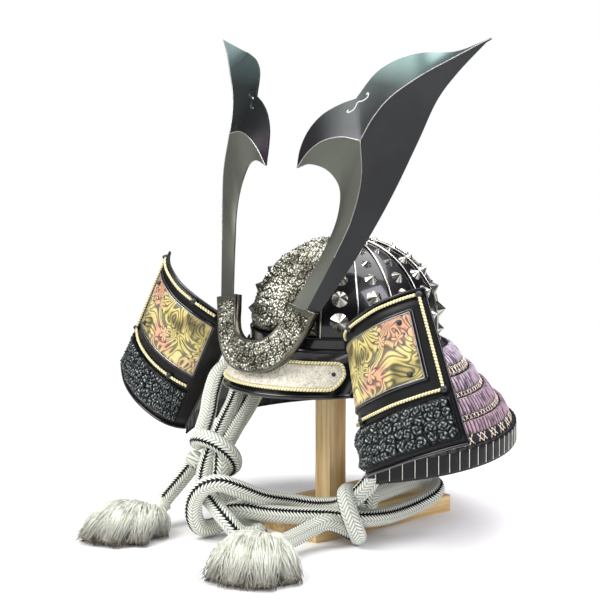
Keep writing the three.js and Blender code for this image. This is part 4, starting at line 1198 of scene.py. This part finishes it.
mesh = bmesh.new()
lay_sheet(
    mesh, lambda u, v: off_wing(0.17 + 0.805 * u, 0.685 + 0.28 * v, 0.0007), 210, 56,
    lift=lambda u, v: 0.001 + carved_rim(u, v) * (
        0.0035 * swell(u, v, 8, 3) + 0.0028 * carved_scrolls(u, v)
    ),
    relief=lambda u, v: carved_scrolls(u, v) if carved_rim(u, v) > 0.5 else 0.2,
)
for carving in mirror_pair("wing_scroll_band", mesh, [oxidised], "oxidised", "wing_carving"):
    give_wall(carving, 0.001)

# ---------------------------------------------------------------- neck guard
# Five curved lacquered lames hang below the bowl, each laced to the next with silk.
# Close vertical cords cover each lame, with a row of crossed cords along its foot.
# The last lame is bare scales.
LAMES = [  # height, half width and half length in millimetres, at the top and at the foot
    (200, 106, 113.5, 176, 137.5, 128), (175, 143, 133.5, 156, 154.5, 143.7),
    (155.5, 160, 149, 135.5, 173, 161),
    (135, 178.5, 166.5, 114, 188.5, 175.5), (113.5, 194.2, 181, 92, 194.5, 181),
]
CORD_WIDE = 0.0062  # a flat lacing cord
SCALE_WIDE = 0.0135  # a scale of the last lame
PLATE_WALL, SILK_WALL = 0.002, 0.0006


def lame_face(k, u, v):
    top_z, top_a, top_b, foot_z, foot_a, foot_b = LAMES[k]
    turn = math.radians(u * 180 + (2 * u - 1) * (29 + 1.6 * k))
    y = (top_b + (foot_b - top_b) * v) * math.sin(turn)
    z = top_z + (foot_z - top_z) * (v**1.7 if k == 0 else v)
    return at((top_a + (foot_a - top_a) * v) * math.cos(turn), 24 + y, z + 0.00056 * (200 - z) * y)


def lame_sheet(k, u, v):
    """The lame itself, whose top edge turns in towards the foot of the lame above it."""
    if k and v < 0.125:
        edge = lame_face(k, u, 0)
        return edge + (at(0, 24, 0) - Vector((edge.x, edge.y, 0))).normalized() * 0.0034 * (1 - 8 * v)
    return lame_face(k, u, (v - 0.125) / 0.875 if k else v)


# Silk lacing: soft cords, lilac on the upper lames and rose on the lower, with shade painted dark down their
# rounded sides into the gaps between them.
lacing, tree, place = new_finish("lilac silk lacing")
height = add_node(tree, "Attribute", attribute_name="relief")
split = add_node(tree, "SeparateXYZ", place)
weave = add_node(tree, "TexNoise", Vector=place, Scale=600.0, Detail=2.0)
down = add_node(tree, "MapRange", Value=split.outputs[2], From_Min=0.115, From_Max=0.205)
silk = add_node(
    tree, "ValToRGB", Fac=down, stops=[(0.0, "#b18c98"), (0.45, "#ad92a2"), (1.0, "#d6ccd9")],
)
hang = add_node(tree, "Mapping", Vector=place, Scale=(1.0, 1.0, 0.15))
pulled = add_node(tree, "TexNoise", Vector=hang, Scale=150.0, Detail=3.0)
worn = add_node(
    tree, "ValToRGB", Fac=pulled, stops=[(0.38, "#77676f"), (0.5, "#e6dfe8"), (0.65, "#ffffff")],
)
woven = add_node(tree, "Mix", {0: 1.0, 6: silk, 7: worn}, data_type="RGBA", blend_type="MULTIPLY")
# Painted shade: each cord darkens from its middle to its edges, to near black in the gaps.
gap = add_node(tree, "MapRange", Value=height.outputs["Fac"], From_Min=0.5, From_Max=0.93)
laid = add_node(tree, "Mix", {0: gap, 6: linear("#1c151c"), 7: woven.outputs[2]}, data_type="RGBA")
bump = add_node(tree, "Bump", Height=weave, Strength=0.3, Distance=0.0004)
shader = add_node(
    tree, "BsdfPrincipled", Base_Color=laid.outputs[2], Roughness=0.7, Sheen_Weight=0.3,
    Normal=bump,
)
add_node(tree, "OutputMaterial", Surface=shader)

# The crossed cords are cream and pink, over black scale heads.
crossed, tree, place = new_finish("cream and pink crossed cords")
height = add_node(tree, "Attribute", attribute_name="relief")
mottle = add_node(tree, "TexNoise", Vector=place, Scale=150.0, Detail=2.0)
dye = add_node(tree, "ValToRGB", Fac=mottle, stops=[(0.42, "#e4c9b8"), (0.58, "#f0e6d2")])
gap = add_node(tree, "MapRange", Value=height.outputs["Fac"], From_Min=0.45, From_Max=0.65)
laid = add_node(tree, "Mix", {0: gap, 6: linear("#17141a"), 7: dye}, data_type="RGBA")
shader = add_node(tree, "BsdfPrincipled", Base_Color=laid.outputs[2], Roughness=0.6)
add_node(tree, "OutputMaterial", Surface=shader)


def cord_row(u, count):
    """Round-backed cords side by side, each 0 at its edges and 1 in its middle."""
    across = 2 * ((u * count) % 1) - 1
    return math.sqrt(max(0.0, 1 - across * across))


def cross_row(u, v, count, together, apart):
    """Cords that cross in squares of which count would fill the row: some together, then a space."""
    place = (u * count) % (together + apart)
    if place > together:
        return 0.0
    across = place % 1
    return max(0.0, 1 - 4.2 * min(abs(across - v), abs(across - 1 + v)))


for k in range(len(LAMES)):
    around = length_of([lame_face(k, i / 200, 0.5) for i in range(201)])
    mesh = bmesh.new()
    if k < 4:
        lay_sheet(mesh, lambda u, v: lame_sheet(k, u, v), 160, 8)
    else:
        scales = round(around / SCALE_WIDE)
        lay_sheet(
            mesh, lambda u, v: lame_sheet(k, u, v), scales * 8, 8,
            lift=lambda u, v: 0.0016 * min(
                1, 5 * min((u * scales) % 1, 1 - (u * scales) % 1)
            ) ** 0.5 * (0.75 + 0.25 * v),
        )
    lame = new_piece(f"lame_{k + 1}", mesh, [satin])
    give_wall(lame, PLATE_WALL)
    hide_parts(f"neck_lame_{k + 1}")
    mesh = bmesh.new()
    lay_tube(mesh, even_points([lame_face(k, i / 60, 1) for i in range(61)], 300), 0.0013, 8)
    new_piece(f"lame_hem_{k + 1}", mesh, [satin])
    if k == 4:
        continue

    count = round(around / CORD_WIDE)
    top, foot = (0.12 if k == 0 else 0.05), (0.76 if k < 3 else 0.6)
    mesh = bmesh.new()
    lay_sheet(
        mesh, lambda u, v: lame_sheet(k, 0.006 + 0.988 * u, top + (foot - top) * v), count * 6, 8,
        lift=lambda u, v: 0.0004 + 0.0022 * cord_row(u, count) * min(1, 0.45 + 4 * min(v, 1 - v)),
        relief=lambda u, v: cord_row(u, count),
    )
    cords_piece = new_piece(f"lacing_cords_{k + 1}", mesh, [lacing])
    crosses, together, apart = (
        round(around / 0.0052), 1, 0.35
    ) if k < 3 else (round(around / 0.0078), 2, 1.0)
    mesh = bmesh.new()
    lay_sheet(
        mesh, lambda u, v: lame_sheet(k, 0.006 + 0.988 * u, foot + 0.01 + (0.995 - foot) * v), crosses * 7,
        6,
        lift=lambda u, v: 0.0008 + 0.0016 * cross_row(u, v, crosses, together, apart),
        relief=lambda u, v: cross_row(u, v, crosses, together, apart),
    )
    knots_piece = new_piece(f"crossed_lacing_{k + 1}", mesh, [crossed])
    for laid_piece in (cords_piece, knots_piece):
        give_wall(laid_piece, SILK_WALL)
    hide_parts(f"neck_lacing_{k + 1}")

# The thin cords that hold the scales of the last lame, one over each joint.
scales = round(length_of([lame_face(4, i / 200, 0.5) for i in range(201)]) / SCALE_WIDE)
runs = [
    [
        (
            lame_face(4, n / scales, v) + (
                lame_face(4, n / scales, 0.5) - at(0, 24, 103)
            ).normalized() * 0.0012,
            1.0
        )
        for v in (0.05, 0.4, 0.7, 0.95)
    ]
    for n in range(1, scales)
]
new_piece("scale_threads", rods_mesh(runs, 0.0012), [thread])
